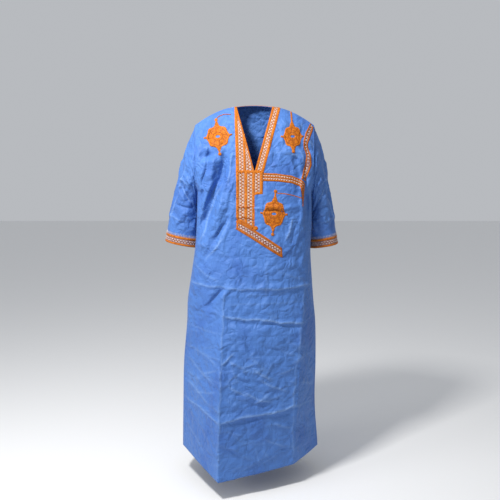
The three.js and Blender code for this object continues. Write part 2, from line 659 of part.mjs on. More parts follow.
// A prism over an outline [x, z], from well in front of the robe back to the plane of the shoulders
const PRISM_FRONT = -420;
function prism(outline) {
  const shape = new THREE.Shape(outline.map(([x, z]) => new THREE.Vector2(x, z)));
  const depth = SHOULDER_Y - PRISM_FRONT;
  const geometry = new THREE.ExtrudeGeometry(shape, { depth, bevelEnabled: false });
  // the extrusion runs along +Z over (x, y); this turns it to run along +Y over (x, z)
  const position = geometry.attributes.position;
  const merged = new Map();
  const points = [];
  const index = [];
  for (let i = 0; i < position.count; i++) {
    const point = [position.getX(i), PRISM_FRONT + position.getZ(i), position.getY(i)];
    const key = point.map((value) => value.toFixed(4)).join(" ");
    if (!merged.has(key)) {
      merged.set(key, points.length / 3);
      points.push(...point);
    }
    index.push(merged.get(key));
  }
  for (let i = 0; i < index.length; i += 3) [index[i + 1], index[i + 2]] = [index[i + 2], index[i + 1]];
  const turned = new THREE.BufferGeometry();
  turned.setAttribute("position", new THREE.Float32BufferAttribute(points, 3)).setIndex(index);
  return solidOf(turned);
}

function ellipseOutline(x, z, width, height, steps, scallop) {
  const outline = [];
  for (let i = 0; i < steps; i++) {
    const angle = (2 * Math.PI * i) / steps;
    const reach = 1 + scallop * Math.cos(LOBES * angle);
    outline.push([x + (reach * width * Math.cos(angle)) / 2, z + (reach * height * Math.sin(angle)) / 2]);
  }
  return outline;
}

function medallionPrism(medal) {
  const turned = (outline) =>
    outline.map(([x, z]) => {
      const point = new THREE.Vector2(x, z).rotateAround(new THREE.Vector2(0, 0), radians(medal.turn));
      return [medal.x + point.x, medal.z + point.y];
    });
  const half = STEM_WIDTH / 2;
  const stem = [[-half, -medal.down], [half, -medal.down], [half, medal.up], [-half, medal.up]];
  const reach = medal.width / 2 + HORN_REACH;
  const horns = [[-reach, 0], [0, -HORN_HALF], [reach, 0], [0, HORN_HALF]];
  const neck = [[-COLLAR_HALF, 0], [COLLAR_HALF, 0], [0, medal.height / 2 + COLLAR_UP]];
  const foot = [[COLLAR_HALF, 0], [-COLLAR_HALF, 0], [0, -medal.height / 2 - COLLAR_DOWN]];
  const knob = (z) => ellipseOutline(0, z, 2 * KNOB_RADIUS, 2 * KNOB_RADIUS, SMALL_STEPS, 0);
  const knobs = [knob(-medal.down), knob(medal.up)];
  let made = prism(turned(ellipseOutline(0, 0, medal.width, medal.height, DISC_STEPS, LOBE_DEPTH)));
  for (const outline of [stem, horns, neck, foot, ...knobs]) made = made.add(prism(turned(outline)));
  return made.subtract(prism(turned(ellipseOutline(0, 0, SLOT_WIDTH, SLOT_HEIGHT, SMALL_STEPS, 0))));
}

// A tube round a line of points, to cut the band that follows the back neck
const TUBE_SIDES = 12;
function tube(points, radius) {
  const positions = [];
  const index = [];
  points.forEach((point, i) => {
    const before = points[Math.max(0, i - 1)];
    const after = points[Math.min(points.length - 1, i + 1)];
    const ahead = after.clone().sub(before).normalize();
    const up = new THREE.Vector3(0, 0, 1);
    const side = ahead.clone().cross(up).normalize();
    const top = side.clone().cross(ahead).normalize();
    for (let k = 0; k < TUBE_SIDES; k++) {
      const angle = (2 * Math.PI * k) / TUBE_SIDES;
      const corner = point.clone().addScaledVector(side, radius * Math.cos(angle));
      corner.addScaledVector(top, radius * Math.sin(angle));
      positions.push(...corner.toArray());
    }
  });
  for (let i = 0; i < points.length - 1; i++)
    for (let k = 0; k < TUBE_SIDES; k++) {
      const next = (k + 1) % TUBE_SIDES;
      const a = i * TUBE_SIDES + k;
      const b = i * TUBE_SIDES + next;
      index.push(a, a + TUBE_SIDES, b, b, a + TUBE_SIDES, b + TUBE_SIDES);
    }
  const last = (points.length - 1) * TUBE_SIDES;
  for (let k = 1; k < TUBE_SIDES - 1; k++) {
    index.push(0, k, k + 1);
    index.push(last, last + k + 1, last + k);
  }
  const made = new THREE.BufferGeometry();
  made.setAttribute("position", new THREE.Float32BufferAttribute(positions, 3)).setIndex(index);
  return solidOf(made);
}

const front = makeFront();
const back = makeBack();
const sleeves = SLEEVES.map((sleeve) => makeSleeve(front, back, sleeve));
partSeams(front, back, sleeves);

// The sheet that lies on another, without the faces next to its seams
function inner(panel, columns) {
  const keep = new Set();
  for (let r = 0; r <= TOP_ROW; r++) {
    keep.add(panel.at(r, 0));
    keep.add(panel.at(r, columns));
  }
  const faces = panel.sheet.faces.filter((face) => !face.some((i) => keep.has(i)));
  return { ...panel.sheet, faces };
}

const group = new THREE.Group();
const blueCloth = new THREE.MeshStandardMaterial({ color: BLUE, roughness: 0.55, metalness: 0 });
const orangeThread = new THREE.MeshStandardMaterial({ color: ORANGE, roughness: 0.6, metalness: 0 });

function addPiece(name, geometry, material) {
  const mesh = new THREE.Mesh(geometry, material);
  mesh.name = name;
  group.add(mesh);
}

const HALF = CLOTH / 2;
addPiece("front_panel", wall(front.sheet, -HALF, HALF), blueCloth);
addPiece("back_panel", wall(back.sheet, -HALF, HALF), blueCloth);

sleeves.forEach(({ sheet, grid }, k) => {
  const { name } = SLEEVES[k];
  addPiece("sleeve_" + name, wall(sheet, -HALF, HALF), blueCloth);
  const banded = new Set(grid.slice(SLEEVE_STEPS.length - 1).flat());
  const band = { ...sheet, faces: sheet.faces.filter((face) => face.every((i) => banded.has(i))) };
  addPiece("cuff_band_" + name, wall(band, HALF + SEAM, HALF + SEAM + EMBROIDERY), orangeThread);
});

// What lies on the front: a layer over its faces, cut by the outline
const frontFaces = inner(front, FRONT_COLUMNS);
const bandLayer = solidOf(wall(frontFaces, HALF + SEAM, HALF + SEAM + EMBROIDERY));
const pocketLayer = solidOf(wall(frontFaces, HALF + SEAM, HALF + SEAM + POCKET_CLOTH));
const overPocket = HALF + 2 * SEAM + POCKET_CLOTH;
const overPocketLayer = solidOf(wall(frontFaces, overPocket, overPocket + EMBROIDERY));

for (const [name, outline] of Object.entries(OUTLINES)) {
  const layer = name === "pocket" ? pocketLayer : bandLayer;
  addPiece(name, geometryOf(layer.intersect(prism(outline))), name === "pocket" ? blueCloth : orangeThread);
}

for (const medal of MEDALLIONS) {
  const layer = medal.where === "pocket" ? overPocketLayer : bandLayer;
  addPiece("medallion_" + medal.where, geometryOf(layer.intersect(medallionPrism(medal))), orangeThread);
}

// The back neck band is the part of a layer over the back within the band's width of the neck edge
const NECK_BAND = 33;
const NECK_LEAD = 20; // how far its line runs on past the shoulder seam
const neckLine = [];
const backMiddle = BACK_COLUMNS / 2;
for (let c = backMiddle - NECK_COLUMNS; c <= backMiddle + NECK_COLUMNS; c++)
  neckLine.push(back.sheet.points[back.at(TOP_ROW, c)].clone());
neckLine.unshift(neckLine[0].clone().add(new THREE.Vector3(0, -NECK_LEAD, 0)));
neckLine.push(neckLine[neckLine.length - 1].clone().add(new THREE.Vector3(0, -NECK_LEAD, 0)));
const backLayer = solidOf(wall(inner(back, BACK_COLUMNS), HALF + SEAM, HALF + SEAM + EMBROIDERY));
addPiece("neck_band_back", geometryOf(backLayer.intersect(tube(neckLine, NECK_BAND))), orangeThread);

export default group;
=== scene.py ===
"""Builds the visual model of a worn long robe of polished blue cotton on its frame of plain solids.

The forms repeat the solids' own tables in millimetres; meshes are made in metres in the same place.
"""

import math

import bpy
import numpy as np
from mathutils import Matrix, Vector


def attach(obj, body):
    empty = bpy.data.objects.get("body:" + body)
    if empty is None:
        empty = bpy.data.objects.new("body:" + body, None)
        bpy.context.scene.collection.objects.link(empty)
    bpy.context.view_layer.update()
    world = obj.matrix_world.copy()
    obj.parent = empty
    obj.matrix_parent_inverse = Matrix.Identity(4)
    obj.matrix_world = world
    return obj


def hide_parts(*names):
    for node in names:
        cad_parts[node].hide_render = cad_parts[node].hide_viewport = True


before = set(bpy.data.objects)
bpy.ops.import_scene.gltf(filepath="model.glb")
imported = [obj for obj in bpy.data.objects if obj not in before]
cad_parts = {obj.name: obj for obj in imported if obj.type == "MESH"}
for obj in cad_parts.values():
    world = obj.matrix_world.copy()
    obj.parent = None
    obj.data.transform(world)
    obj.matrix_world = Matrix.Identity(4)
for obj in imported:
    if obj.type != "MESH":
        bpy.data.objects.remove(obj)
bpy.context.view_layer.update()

bl_info = {
    "name": "Djellaba robe",
    "version": (1, 0, 0),
    "blender": (4, 5, 0),
    "location": "View3D > Sidebar > Robe",
    "description": "Builds the cloth, the embroidery and the stage of a worn robe",
    "category": "Object",
}

MM = 0.001

# Main sizes in millimetres, as in the solids
NECK_HALF = 71
NECK_BACK = 50
NECK_RISE = 8
UNDERARM_Z = -330
SHOULDER_HALF = 236
SHOULDER_DROP = 0.0122
SHOULDER_POWER = 1.7
SHOULDER_Y = 12
SIDE_Y = -25
SIDE_ROUND = 2.3
CHEST_ROUND = 1.7
BACK_ROUND = 2.6
FRONT_BOW = 58
BACK_BOW = 92
PANEL_BULGE = 7
CREASE_REACH = 16
HEM_Z = -1426
HEM_SIDE_LIFT = 40
HEM_CREASE_LIFTS = (0, 15)
LAST_CREASE_Z = -1190
V_ANGLE = 16.8
ARM_ARCH = 1.25
ARM_ARCH_RISE = 0.25
BOW_POWER = 0.75
# Where folds fade out: shares of the way to the side, and of the way up to the shoulder
FOLDS_END = ((0.9, 1), (0.8, 0.97))
FINE_FOLDS_END = ((0.93, 0.995), (0.86, 0.98))

SECTION_COLUMNS = ("z", "left", "right", "front", "back", "x1", "y1", "x2", "y2", "box")
SECTIONS = np.array([
    (-1426, -296, 262, 236, 172, -139, -305, 154, -166, 1),
    (-1190, -292, 248, 226, 164, -137, -282, 167, -163, 1),
    (-1022, -287, 250, 212, 156, -135, -246, 178, -153, 1),
    (-862, -273, 247, 196, 148, -128, -212, 187, -142, 0.8),
    (-768, -269, 238, 185, 141, -121, -190, 192, -130, 0.5),
    (-664, -253, 230, 176, 132, -115, -174, 191, -112, 0.1),
    (-560, -238, 224, 168, 120, -113, -160, 188, -100, 0),
    (-470, -231, 228, 158, 112, -112, -150, 184, -100, 0),
    (-330, -226, 226, 140, 112, -112, -130, 179, -90, 0),
], float)

# Folds in the solids: x1, z1, x2, z2, width, depth (above 0 inwards)
FRONT_FOLDS = [
    (-104, -196, -206, -500, 28, 28),
    (-66, -236, -160, -500, 22, -10),
    (-214, -196, -140, -180, 15, 11),
    (-120, -40, -190, -150, 12, 6),
    (-100, -432, -160, -540, 10, 8),
    (-112, -674, -184, -772, 10, 8),
    (146, -190, 196, -262, 24, 14),
    (172, -150, 240, -192, 13, 13),
    (196, -60, 172, -122, 11, 6),
    (214, -320, 196, -470, 16, 12),
]
BACK_FOLDS = [
    (-120, -170, -176, -720, 26, 15),
    (124, -160, 158, -640, 24, 14),
    (12, -380, 34, -1426, 34, 22),
    (-132, -640, -150, -1426, 30, -20),
    (138, -700, 128, -1426, 28, -18),
    (-214, -300, -120, -420, 16, 9),
    (212, -310, 110, -440, 16, 9),
]
# Level pressed creases: z, depth outwards
LEVEL_CREASES = [(-393, 2.5), (-581, -3), (-697, 3), (-822, -4), (-884, 3), (-1190, 6)]

# Sleeves: side, inner, outer, innerZ, outerZ, frontY, backY
SLEEVES = {
    "right": (-1, 226, 368, -568, -541, -2, 172),
    "left": (1, 226, 346, -570, -551, -2, 172),
}
CUFF_BAND = 42
CUFF_LEAN = 0.17
SLEEVE_ROUND = 2.3
# How the sleeve leaves the armhole (out, back, down) at the underarm, the middle and the top
LEAVE_UNDERARM = (34, 190, 60)
LEAVE_MIDDLE = (105, 50, 210)
LEAVE_TOP = (150, 10, 320)
SLEEVE_GIRTH = 500
SLEEVE_LENGTH = 470
# Folds of a sleeve as shares of its girth and length: turn1, down1, turn2, down2, width, depth
SLEEVE_FOLDS = [
    (t1 * SLEEVE_GIRTH, d1 * SLEEVE_LENGTH, t2 * SLEEVE_GIRTH, d2 * SLEEVE_LENGTH, width, deep)
    for t1, d1, t2, d2, width, deep in (
        (0.12, 0.06, 0.4, 0.05, 16, 11),
        (0.1, 0.62, 0.34, 0.5, 17, 10),
        (0.18, 0.34, 0.36, 0.4, 15, -6),
        (0.62, 0.5, 0.86, 0.6, 18, 10),
        (0.42, 0.4, 0.36, 0.98, 16, 7),
        (0.7, 0.2, 0.66, 0.9, 18, 8),
    )
]


def lerp(a, b, t):
    return a + (b - a) * t


def smoothstep(low, high, value):
    t = np.clip((value - low) / (high - low), 0, 1)
    return t * t * (3 - 2 * t)


def ridge(value, at, width):
    """1 where the value is at the middle of a ridge, and next to 0 past two widths from it."""
    return np.exp(-(((value - at) / width) ** 2))


def run_along(line):
    """Lengths along a line of points, from 0 at its start."""
    return np.concatenate([[0], np.cumsum(np.linalg.norm(np.diff(line, axis=0), axis=1))])


def points_at(line, lengths):
    """The points at lengths along a line of points."""
    run = run_along(line)
    return np.stack([np.interp(lengths, run, line[:, k]) for k in range(line.shape[1])], axis=1)


def line_of(*lengths):
    """A line of places or points, from the list or number for each of their lengths."""
    return np.stack(np.broadcast_arrays(*lengths), axis=-1)


def spread(values, count):
    """One number or a few, spread evenly over a count of points."""
    return np.interp(np.linspace(0, 1, count), np.linspace(0, 1, np.size(values)), np.ravel(values))


def section(key, z):
    """A column of SECTIONS at height z, on a smooth curve through its rows."""
    rows = SECTIONS[:, 0]
    values = SECTIONS[:, SECTION_COLUMNS.index(key)]
    slopes = np.empty(len(rows))
    slopes[1:-1] = (values[2:] - values[:-2]) / (rows[2:] - rows[:-2])
    slopes[0] = (values[1] - values[0]) / (rows[1] - rows[0])
    slopes[-1] = (values[-1] - values[-2]) / (rows[-1] - rows[-2])
    height = np.clip(z, rows[0], rows[-1])
    i = np.searchsorted(rows[1:-1], height)
    span = rows[i + 1] - rows[i]
    t = (height - rows[i]) / span
    between = values[i] * (1 + 2 * t) * (1 - t) ** 2 + values[i + 1] * t * t * (3 - 2 * t)
    return between + span * (slopes[i] * t * (1 - t) ** 2 + slopes[i + 1] * t * t * (t - 1))


def fold_depth(folds, x, z):
    depth = np.zeros(np.broadcast(x, z).shape)
    for x1, z1, x2, z2, width, deep in folds:
        length = math.hypot(x2 - x1, z2 - z1)
        ux, uz = (x2 - x1) / length, (z2 - z1) / length
        along = (x - x1) * ux + (z - z1) * uz
        across = (x - x1) * uz - (z - z1) * ux
        ends = smoothstep(-0.14 * length, 0.24 * length, along)
        ends = ends * (1 - smoothstep(0.76 * length, 1.14 * length, along))
        depth = depth + deep * ridge(across, 0, width) * ends
    return depth


def level_creases(z):
    return sum(deep * np.exp(-np.abs(z - at) / CREASE_REACH) for at, deep in LEVEL_CREASES)


def shoulder_z(x):
    return -SHOULDER_DROP * np.maximum(0, np.abs(x) - NECK_HALF) ** SHOULDER_POWER


def neck_arch(x):
    """1 in the middle of the neck, and 0 from its sides outwards."""
    return np.maximum(0, 1 - (x / NECK_HALF) ** 2)


def back_top(x):
    """Height of the back's upper edge."""
    return shoulder_z(x) + NECK_RISE * neck_arch(x)


def box_stops(z):
    """The x of both side seams and both pressed creases at height z."""
    return section("left", z), section("x1", z), section("x2", z), section("right", z)


def between_stops(x, stops, values):
    """values along x, straight from stop to stop, and the share of the way from each stop."""
    result = np.zeros(np.shape(x))
    way = np.zeros(np.shape(x))
    for i in range(3):
        t = np.clip((x - stops[i]) / (stops[i + 1] - stops[i]), 0, 1)
        here = (x > stops[i]) if i else np.ones(np.shape(x), bool)
        result = np.where(here, lerp(values[i], values[i + 1], t), result)
        way = np.where(here, t, way)
    return result, way


def hem_lift(z, x, front=True):
    share = smoothstep(LAST_CREASE_Z, HEM_Z, z)
    if not front:
        return HEM_SIDE_LIFT * share
    lifts = (HEM_SIDE_LIFT, *HEM_CREASE_LIFTS, HEM_SIDE_LIFT)
    return between_stops(x, box_stops(z), lifts)[0] * share


def rise_at(x, z, front):
    """How far (x, z) is up from the underarm to the shoulder, from 0 to 1."""
    top = shoulder_z(x) if front else back_top(x)
    return np.clip((z - UNDERARM_Z) / (top - UNDERARM_Z), 0, 1)


def skirt_half(side, z):
    """Half the width below the underarm: the left half's where side is under 0, else the right half's."""
    return np.where(side < 0, -section("left", z), section("right", z))


def upper_half(rise):
    """Half the width above the underarm."""
    return lerp(section("right", UNDERARM_Z), SHOULDER_HALF, rise)


def half_width(x, z, rise):
    return np.where(z < UNDERARM_Z, skirt_half(x, z), upper_half(rise))


def side_y(rise, front):
    """y of the edge of the front or the back along the armhole."""
    bow = np.sin(np.pi * rise**BOW_POWER) * (-FRONT_BOW if front else BACK_BOW)
    return lerp(SIDE_Y, SHOULDER_Y, rise) + bow


def fade_out(share, rise, sides, top):
    return (1 - smoothstep(*sides, share)) * (1 - smoothstep(*top, rise))


def body_y(x, z, front=True):
    """y of the front's or back's middle surface over (x, z), before the hem is lifted."""
    rise = rise_at(x, z, front)
    share = np.clip(np.abs(x) / half_width(x, z, rise), 0, 1)
    sign = -1 if front else 1
    depth = section("front" if front else "back", z)
    # below the underarm
    rounded = lerp(SIDE_Y, sign * depth, (1 - share**SIDE_ROUND) ** (1 / SIDE_ROUND))
    if front:
        corner_y = (SIDE_Y, section("y1", z), section("y2", z), SIDE_Y)
        boxed, way = between_stops(x, box_stops(z), corner_y)
        boxed = boxed - PANEL_BULGE * np.sin(np.pi * way)
        rounded = lerp(rounded, boxed, section("box", z))
    # above it
    power = CHEST_ROUND if front else BACK_ROUND
    stand = np.maximum(0, 1 - rise**power) ** (1 / power)
    arch_round = lerp(SIDE_ROUND, ARM_ARCH, smoothstep(0, ARM_ARCH_RISE, rise))
    arch = (1 - share**SIDE_ROUND) ** (1 / arch_round)
    top_y = SHOULDER_Y if front else SHOULDER_Y + NECK_BACK * np.sqrt(neck_arch(x))
    middle = lerp(top_y, sign * depth, stand)
    if front:
        slope = section("front", UNDERARM_Z - 1) - section("front", UNDERARM_Z)
        middle = middle + slope * (z - UNDERARM_Z) * (1 - rise) ** 2
    upper = lerp(side_y(rise, front), middle, arch)
    fade = fade_out(share, rise, *FOLDS_END)
    folds = fold_depth(FRONT_FOLDS if front else BACK_FOLDS, x, z)
    folds = folds - np.where(z < UNDERARM_Z, level_creases(z), 0)
    return np.where(z < UNDERARM_Z, rounded, upper) - sign * folds * fade


def neck_share(rise):
    """Half the width of the neck's V at that rise, as a share of the half width."""
    start = math.sin(math.radians(V_ANGLE)) ** (2 / CHEST_ROUND)
    return np.clip((rise - start) / (1 - start), 0, 1) * NECK_HALF / SHOULDER_HALF


# Finer folds and pressed creases, which the solids leave out: x1, z1, x2, z2, width, height outwards, and
# how sharp: 1 for a pressed crease, 0 for a soft fold
FRONT_FINE = [
    # the dark fold from the upper front down to the side, with the ridges that stand on both sides of it
    (-112, -190, -204, -496, 12, -11, 0), (-84, -196, -178, -500, 11, 9, 0),
    (-140, -180, -222, -450, 10, 7, 0), (-160, -330, -220, -560, 9, 5.5, 0),
    (-128, -470, -216, -620, 9, -5, 0), (-176, -150, -218, -420, 6, -6, 0),
    (196, -180, 208, -430, 7, -6, 0), (176, -210, 190, -480, 8, 5, 0), (150, -560, 206, -700, 8, -3.5, 0),
    # the skirt's level creases, each in its own lengths
    (-262, -688, -122, -698, 5, 3.4, 1), (-118, -700, 60, -704, 4, 2.8, 1),
    (40, -703, 236, -697, 5, 3.4, 1), (-116, -694, 200, -696, 9, 1.6, 0),
    (-110, -762, 182, -757, 3, 1.0, 1), (-262, -798, -135, -806, 4, -2.4, 1),
    (-262, -790, -140, -797, 7, 2.0, 0), (-124, -808, 60, -826, 5, 4.8, 1),
    (40, -824, 190, -845, 5, 5.2, 1), (-110, -826, 176, -856, 8, -3.2, 0),
    (200, -836, 246, -826, 4, 2.0, 1), (-264, -866, -136, -874, 3, 1.6, 1),
    (-120, -884, 178, -888, 3, -1.8, 1), (-280, -1172, -205, -1176, 5, 3.2, 1),
    (-210, -1176, -138, -1197, 5, 4.4, 1), (-280, -1184, -150, -1203, 9, -3, 0),
    (-133, -1200, -20, -1184, 5, 4.2, 1), (-36, -1186, 80, -1180, 6, 4.6, 1),
    (60, -1182, 158, -1170, 5, 5, 1), (-120, -1212, 150, -1190, 10, -3.4, 0),
    (158, -1172, 240, -1182, 5, 3, 1),
    # the short deep fold at the left crease, and the ridge that shines beside it
    (-114, -696, -192, -792, 8, -7, 0), (-104, -704, -184, -806, 8, 4.2, 0),
    (-124, -690, -200, -776, 6, 3.0, 0), (-127, -984, -80, -948, 4, 4.4, 1),
    (-120, -998, -70, -962, 7, -2.6, 0),
    # the pressed edges that run down the skirt
    (-118, -706, -126, -940, 4, 1.8, 1), (-126, -930, -143, -1420, 4, 2.2, 1),
    (198, -704, 186, -846, 5, 1.8, 1), (186, -846, 172, -968, 5, 2.4, 1),
    (172, -968, 158, -1080, 5, 1.6, 1), (160, -1080, 152, -1181, 5, 2.6, 1),
    (152, -1190, 152, -1400, 5, 1.8, 1), (46, -596, 44, -742, 3, 1.1, 1),
    # the larger crumples between the middle of the skirt and the last crease
    (-90, -1010, -20, -1046, 9, 3.4, 0), (-70, -1040, 30, -1078, 8, -3.0, 0),
    (-10, -1010, 70, -1052, 7, 2.6, 1), (20, -1060, 120, -1104, 8, 3.2, 1),
    (-100, -1072, -30, -1112, 8, 3.2, 1), (60, -980, 140, -1022, 8, 2.6, 0),
    (-40, -1092, 60, -1142, 9, 3.4, 1), (70, -1110, 140, -1142, 7, -2.6, 1),
    (-110, -1120, -20, -1160, 9, 3.0, 0), (-86, -936, 10, -962, 9, 2.2, 0),
    (20, -930, 130, -968, 9, -2.0, 0), (96, -1040, 158, -1016, 6, 2.4, 1),
    (-60, -1004, 6, -984, 5, 2.0, 1), (-104, -1050, -60, -1020, 5, 2.2, 1),
    (0, -1140, 60, -1112, 6, 2.2, 1), (-262, -1010, -160, -1060, 8, 3.0, 1),
    (-250, -1060, -150, -1112, 8, 3.2, 0), (-270, -1100, -176, -1150, 8, 2.8, 1),
    (-240, -950, -150, -990, 8, 2.2, 1), (-200, -1040, -146, -1012, 6, 2.4, 1),
    (-232, -1130, -150, -1092, 6, 2.0, 1), (-268, -930, -190, -950, 6, -1.8, 1),
    (180, -1010, 240, -1060, 8, 2.4, 0), (176, -1080, 240, -1120, 8, 2.0, 1),
    # below the last crease
    (-250, -1214, -180, -1290, 10, 3.2, 0), (-190, -1250, -150, -1360, 10, 2.6, 0),
    (-270, -1290, -200, -1370, 9, 2.2, 1), (-110, -1240, -60, -1330, 12, 2.8, 0),
    (-90, -1300, 10, -1370, 10, 2.4, 0), (-10, -1216, 60, -1290, 11, 2.6, 0),
    (40, -1290, 120, -1340, 10, 2.2, 1), (80, -1222, 140, -1262, 8, 2.0, 1),
    (-60, -1380, 60, -1362, 8, 1.8, 0), (176, -1230, 236, -1300, 9, 2.4, 0),
    (170, -1320, 240, -1350, 8, 1.8, 0),
    # above the skirt's first level crease
    (-246, -560, -150, -650, 9, 2.4, 0), (-236, -620, -140, -676, 8, 2.4, 1),
    (-96, -560, -30, -640, 10, 1.8, 0), (120, -600, 210, -650, 9, 2.2, 0),
    (100, -640, 190, -676, 6, 1.4, 1), (214, -520, 170, -640, 9, 3.0, 0),
    # the upper front: long drags from the neck and the shoulder down to the side
    (-84, -130, -150, -330, 7, 2.6, 0), (-98, -90, -168, -250, 7, -2.2, 0),
    (-110, -220, -196, -420, 6, 3.2, 0), (-90, -262, -170, -450, 8, 3.4, 0),
    (-82, -300, -128, -470, 7, -3.0, 0), (-80, -380, -122, -540, 8, 3.0, 0),
    (-130, -300, -214, -520, 7, 3.4, 1), (-150, -250, -216, -360, 6, -2.8, 0),
    (-104, -428, -176, -552, 5, -3.6, 0), (-96, -440, -160, -560, 6, 2.6, 1),
    (-180, -210, -222, -300, 7, 3.0, 0), (-118, -500, -190, -600, 6, 2.4, 1),
    (-84, -180, -104, -300, 5, 2.0, 1), (-160, -60, -200, -150, 6, 2.4, 0),
    (-180, -50, -206, -110, 5, -2.0, 0), (-204, -160, -150, -148, 5, 2.4, 1),
    (-216, -200, -160, -186, 6, -2.6, 0), (46, -100, 70, -240, 9, 2.0, 0),
    (88, -150, 104, -250, 8, 1.8, 0), (60, -180, 130, -170, 4, 1.4, 1), (118, -176, 176, -196, 6, 3.0, 1),
    (134, -200, 168, -270, 8, 3.0, 0), (176, -170, 196, -236, 6, 2.8, 1),
    (112, -60, 102, -140, 7, 1.8, 0), (184, -62, 170, -124, 5, 2.8, 1), (206, -84, 186, -132, 5, -2.4, 0),
    (204, -110, 236, -160, 5, 3.0, 1),
    # creases pressed across the pocket and the placket
    (-76, -386, 30, -392, 4, 2.0, 1), (26, -386, 122, -395, 6, 3.2, 0), (30, -398, 118, -407, 6, -3.0, 0),
    (120, -392, 190, -386, 7, 2.0, 0), (-76, -434, 0, -440, 4, -2.4, 1),
    (-10, -448, 180, -452, 3, -1.2, 1), (150, -436, 118, -512, 6, 3.6, 1),
    (168, -450, 136, -530, 6, -2.6, 0), (176, -470, 150, -560, 6, 2.6, 0),
    (190, -400, 174, -470, 7, 3.0, 0), (10, -500, 60, -540, 6, 1.4, 0),
]
BACK_FINE = [
    (-262, -694, 250, -700, 5, 2.4, 1), (-262, -808, 40, -820, 5, 3.2, 1),
    (20, -818, 246, -812, 5, 3.0, 1), (-280, -1180, -60, -1196, 6, 4.0, 1),
    (-80, -1194, 120, -1186, 6, 4.2, 1), (100, -1187, 246, -1180, 6, 3.6, 1),
    (-150, -640, -162, -1400, 6, 3.0, 1), (140, -700, 132, -1400, 6, 3.0, 1),
    (-70, -330, -96, -640, 10, 3.4, 0), (60, -300, 90, -620, 10, 3.2, 0),
    (-10, -240, -30, -460, 9, 2.6, 0), (-190, -180, -216, -460, 8, 3.4, 0),
    (180, -190, 214, -440, 8, 3.2, 0), (-120, -900, -40, -960, 9, 3.0, 1),
    (30, -940, 120, -990, 8, 3.0, 1), (-110, -1040, 0, -1100, 9, 3.2, 0),
    (60, -1060, 128, -1120, 8, 2.8, 1), (-230, -1000, -170, -1080, 8, 2.6, 1),
    (170, -980, 230, -1050, 8, 2.6, 0), (-90, -1230, -30, -1350, 11, 3.0, 0),
    (60, -1240, 100, -1360, 10, 2.8, 0), (-230, -560, -130, -640, 8, 2.4, 0),
    (210, -540, 120, -640, 8, 2.4, 0), (-40, -120, -120, -220, 9, 2.6, 0),
    (40, -110, 126, -210, 9, 2.4, 0),
]
# Finer folds of a sleeve, in mm round it from the underarm over the front, and in mm down it
SLEEVE_FINE = [
    (70, 60, 190, 30, 7, 3.0, 0), (60, 90, 170, 110, 7, -2.4, 0), (100, 140, 150, 260, 8, 2.8, 0),
    (150, 120, 190, 300, 8, -2.6, 0), (180, 150, 206, 420, 7, 3.0, 1), (210, 190, 222, 430, 7, 2.4, 0),
    (90, 270, 170, 244, 6, 3.2, 1), (80, 300, 180, 330, 7, -2.8, 0), (110, 330, 160, 430, 8, 3.0, 0),
    (60, 350, 90, 440, 7, 2.4, 0), (236, 60, 244, 240, 9, 2.4, 0), (260, 250, 272, 440, 8, 2.4, 0),
    (300, 120, 330, 280, 9, 3.0, 0), (330, 240, 420, 300, 8, 3.0, 1), (320, 300, 400, 260, 8, -2.6, 0),
    (350, 320, 370, 440, 8, 2.6, 0), (400, 160, 440, 300, 8, 2.4, 0), (430, 320, 450, 440, 7, 2.4, 0),
    (130, 200, 200, 214, 5, 2.2, 1), (120, 388, 210, 396, 4, 1.6, 1),
]


# Small sharp creases: slope (mean and spread, in radians), width and sharpness
CRUMPLE_SLOPE = (0.45, 0.35)
CRUMPLE_WIDTH = (2.5, 6)
CRUMPLE_SHARPNESS = 0.5
# Scatters of them: seed, count, box (x from, x to, z from, z to), length and height
FRONT_CRUMPLES = (
    (3, 150, (-280, 245, -1175, -935), (24, 80), (0.8, 3.0)),
    (5, 60, (-290, 250, -1400, -1205), (30, 90), (0.6, 2.2)),
    (7, 60, (-250, 240, -930, -560), (24, 80), (0.5, 1.7)),
    (11, 60, (-225, 225, -560, -40), (20, 60), (0.5, 1.8)),
)
BACK_CRUMPLES = (
    (13, 120, (-280, 245, -1175, -880), (24, 80), (0.8, 2.8)),
    (17, 110, (-280, 245, -1400, -60), (24, 90), (0.6, 2.0)),
)
SLEEVE_CRUMPLES = ((19, 60, (10, 490, 20, 440), (20, 60), (0.6, 2.2)),)
# How much higher the finer folds stand than the tables say
PANEL_FOLDS_SCALE = 1.45
SLEEVE_FOLDS_SCALE = 1.9


def crumples(seed, count, box, reach, height):
    """A seeded scatter of small sharp creases, as rows of a table of finer folds."""
    rng = np.random.default_rng(seed)
    rows = []
    for _ in range(count):
        x, z = rng.uniform(box[0], box[1]), rng.uniform(box[2], box[3])
        slope = rng.normal(*CRUMPLE_SLOPE) * rng.choice((-1, -1, 1))
        length = rng.uniform(*reach)
        dx, dz = math.cos(slope) * length / 2, math.sin(slope) * length / 2
        high = rng.uniform(*height) * rng.choice((-1, 1))
        rows.append((x - dx, z - dz, x + dx, z + dz, rng.uniform(*CRUMPLE_WIDTH), high, CRUMPLE_SHARPNESS))
    return rows


def with_crumples(table, scatters, scale):
    """A table of finer folds with its scatters added, all scaled in height."""
    rows = table + [row for scatter in scatters for row in crumples(*scatter)]
    return [(*row[:5], row[5] * scale, row[6]) for row in rows]


FRONT_FINE = with_crumples(FRONT_FINE, FRONT_CRUMPLES, PANEL_FOLDS_SCALE)
BACK_FINE = with_crumples(BACK_FINE, BACK_CRUMPLES, PANEL_FOLDS_SCALE)
SLEEVE_FINE = with_crumples(SLEEVE_FINE, SLEEVE_CRUMPLES, SLEEVE_FOLDS_SCALE)

# Facets of the stiff cloth: height, how many go round a sleeve, and seed
FACETS = ((2.3, 8, 23), (1.2, 19, 29))
FACET_ROWS = 64


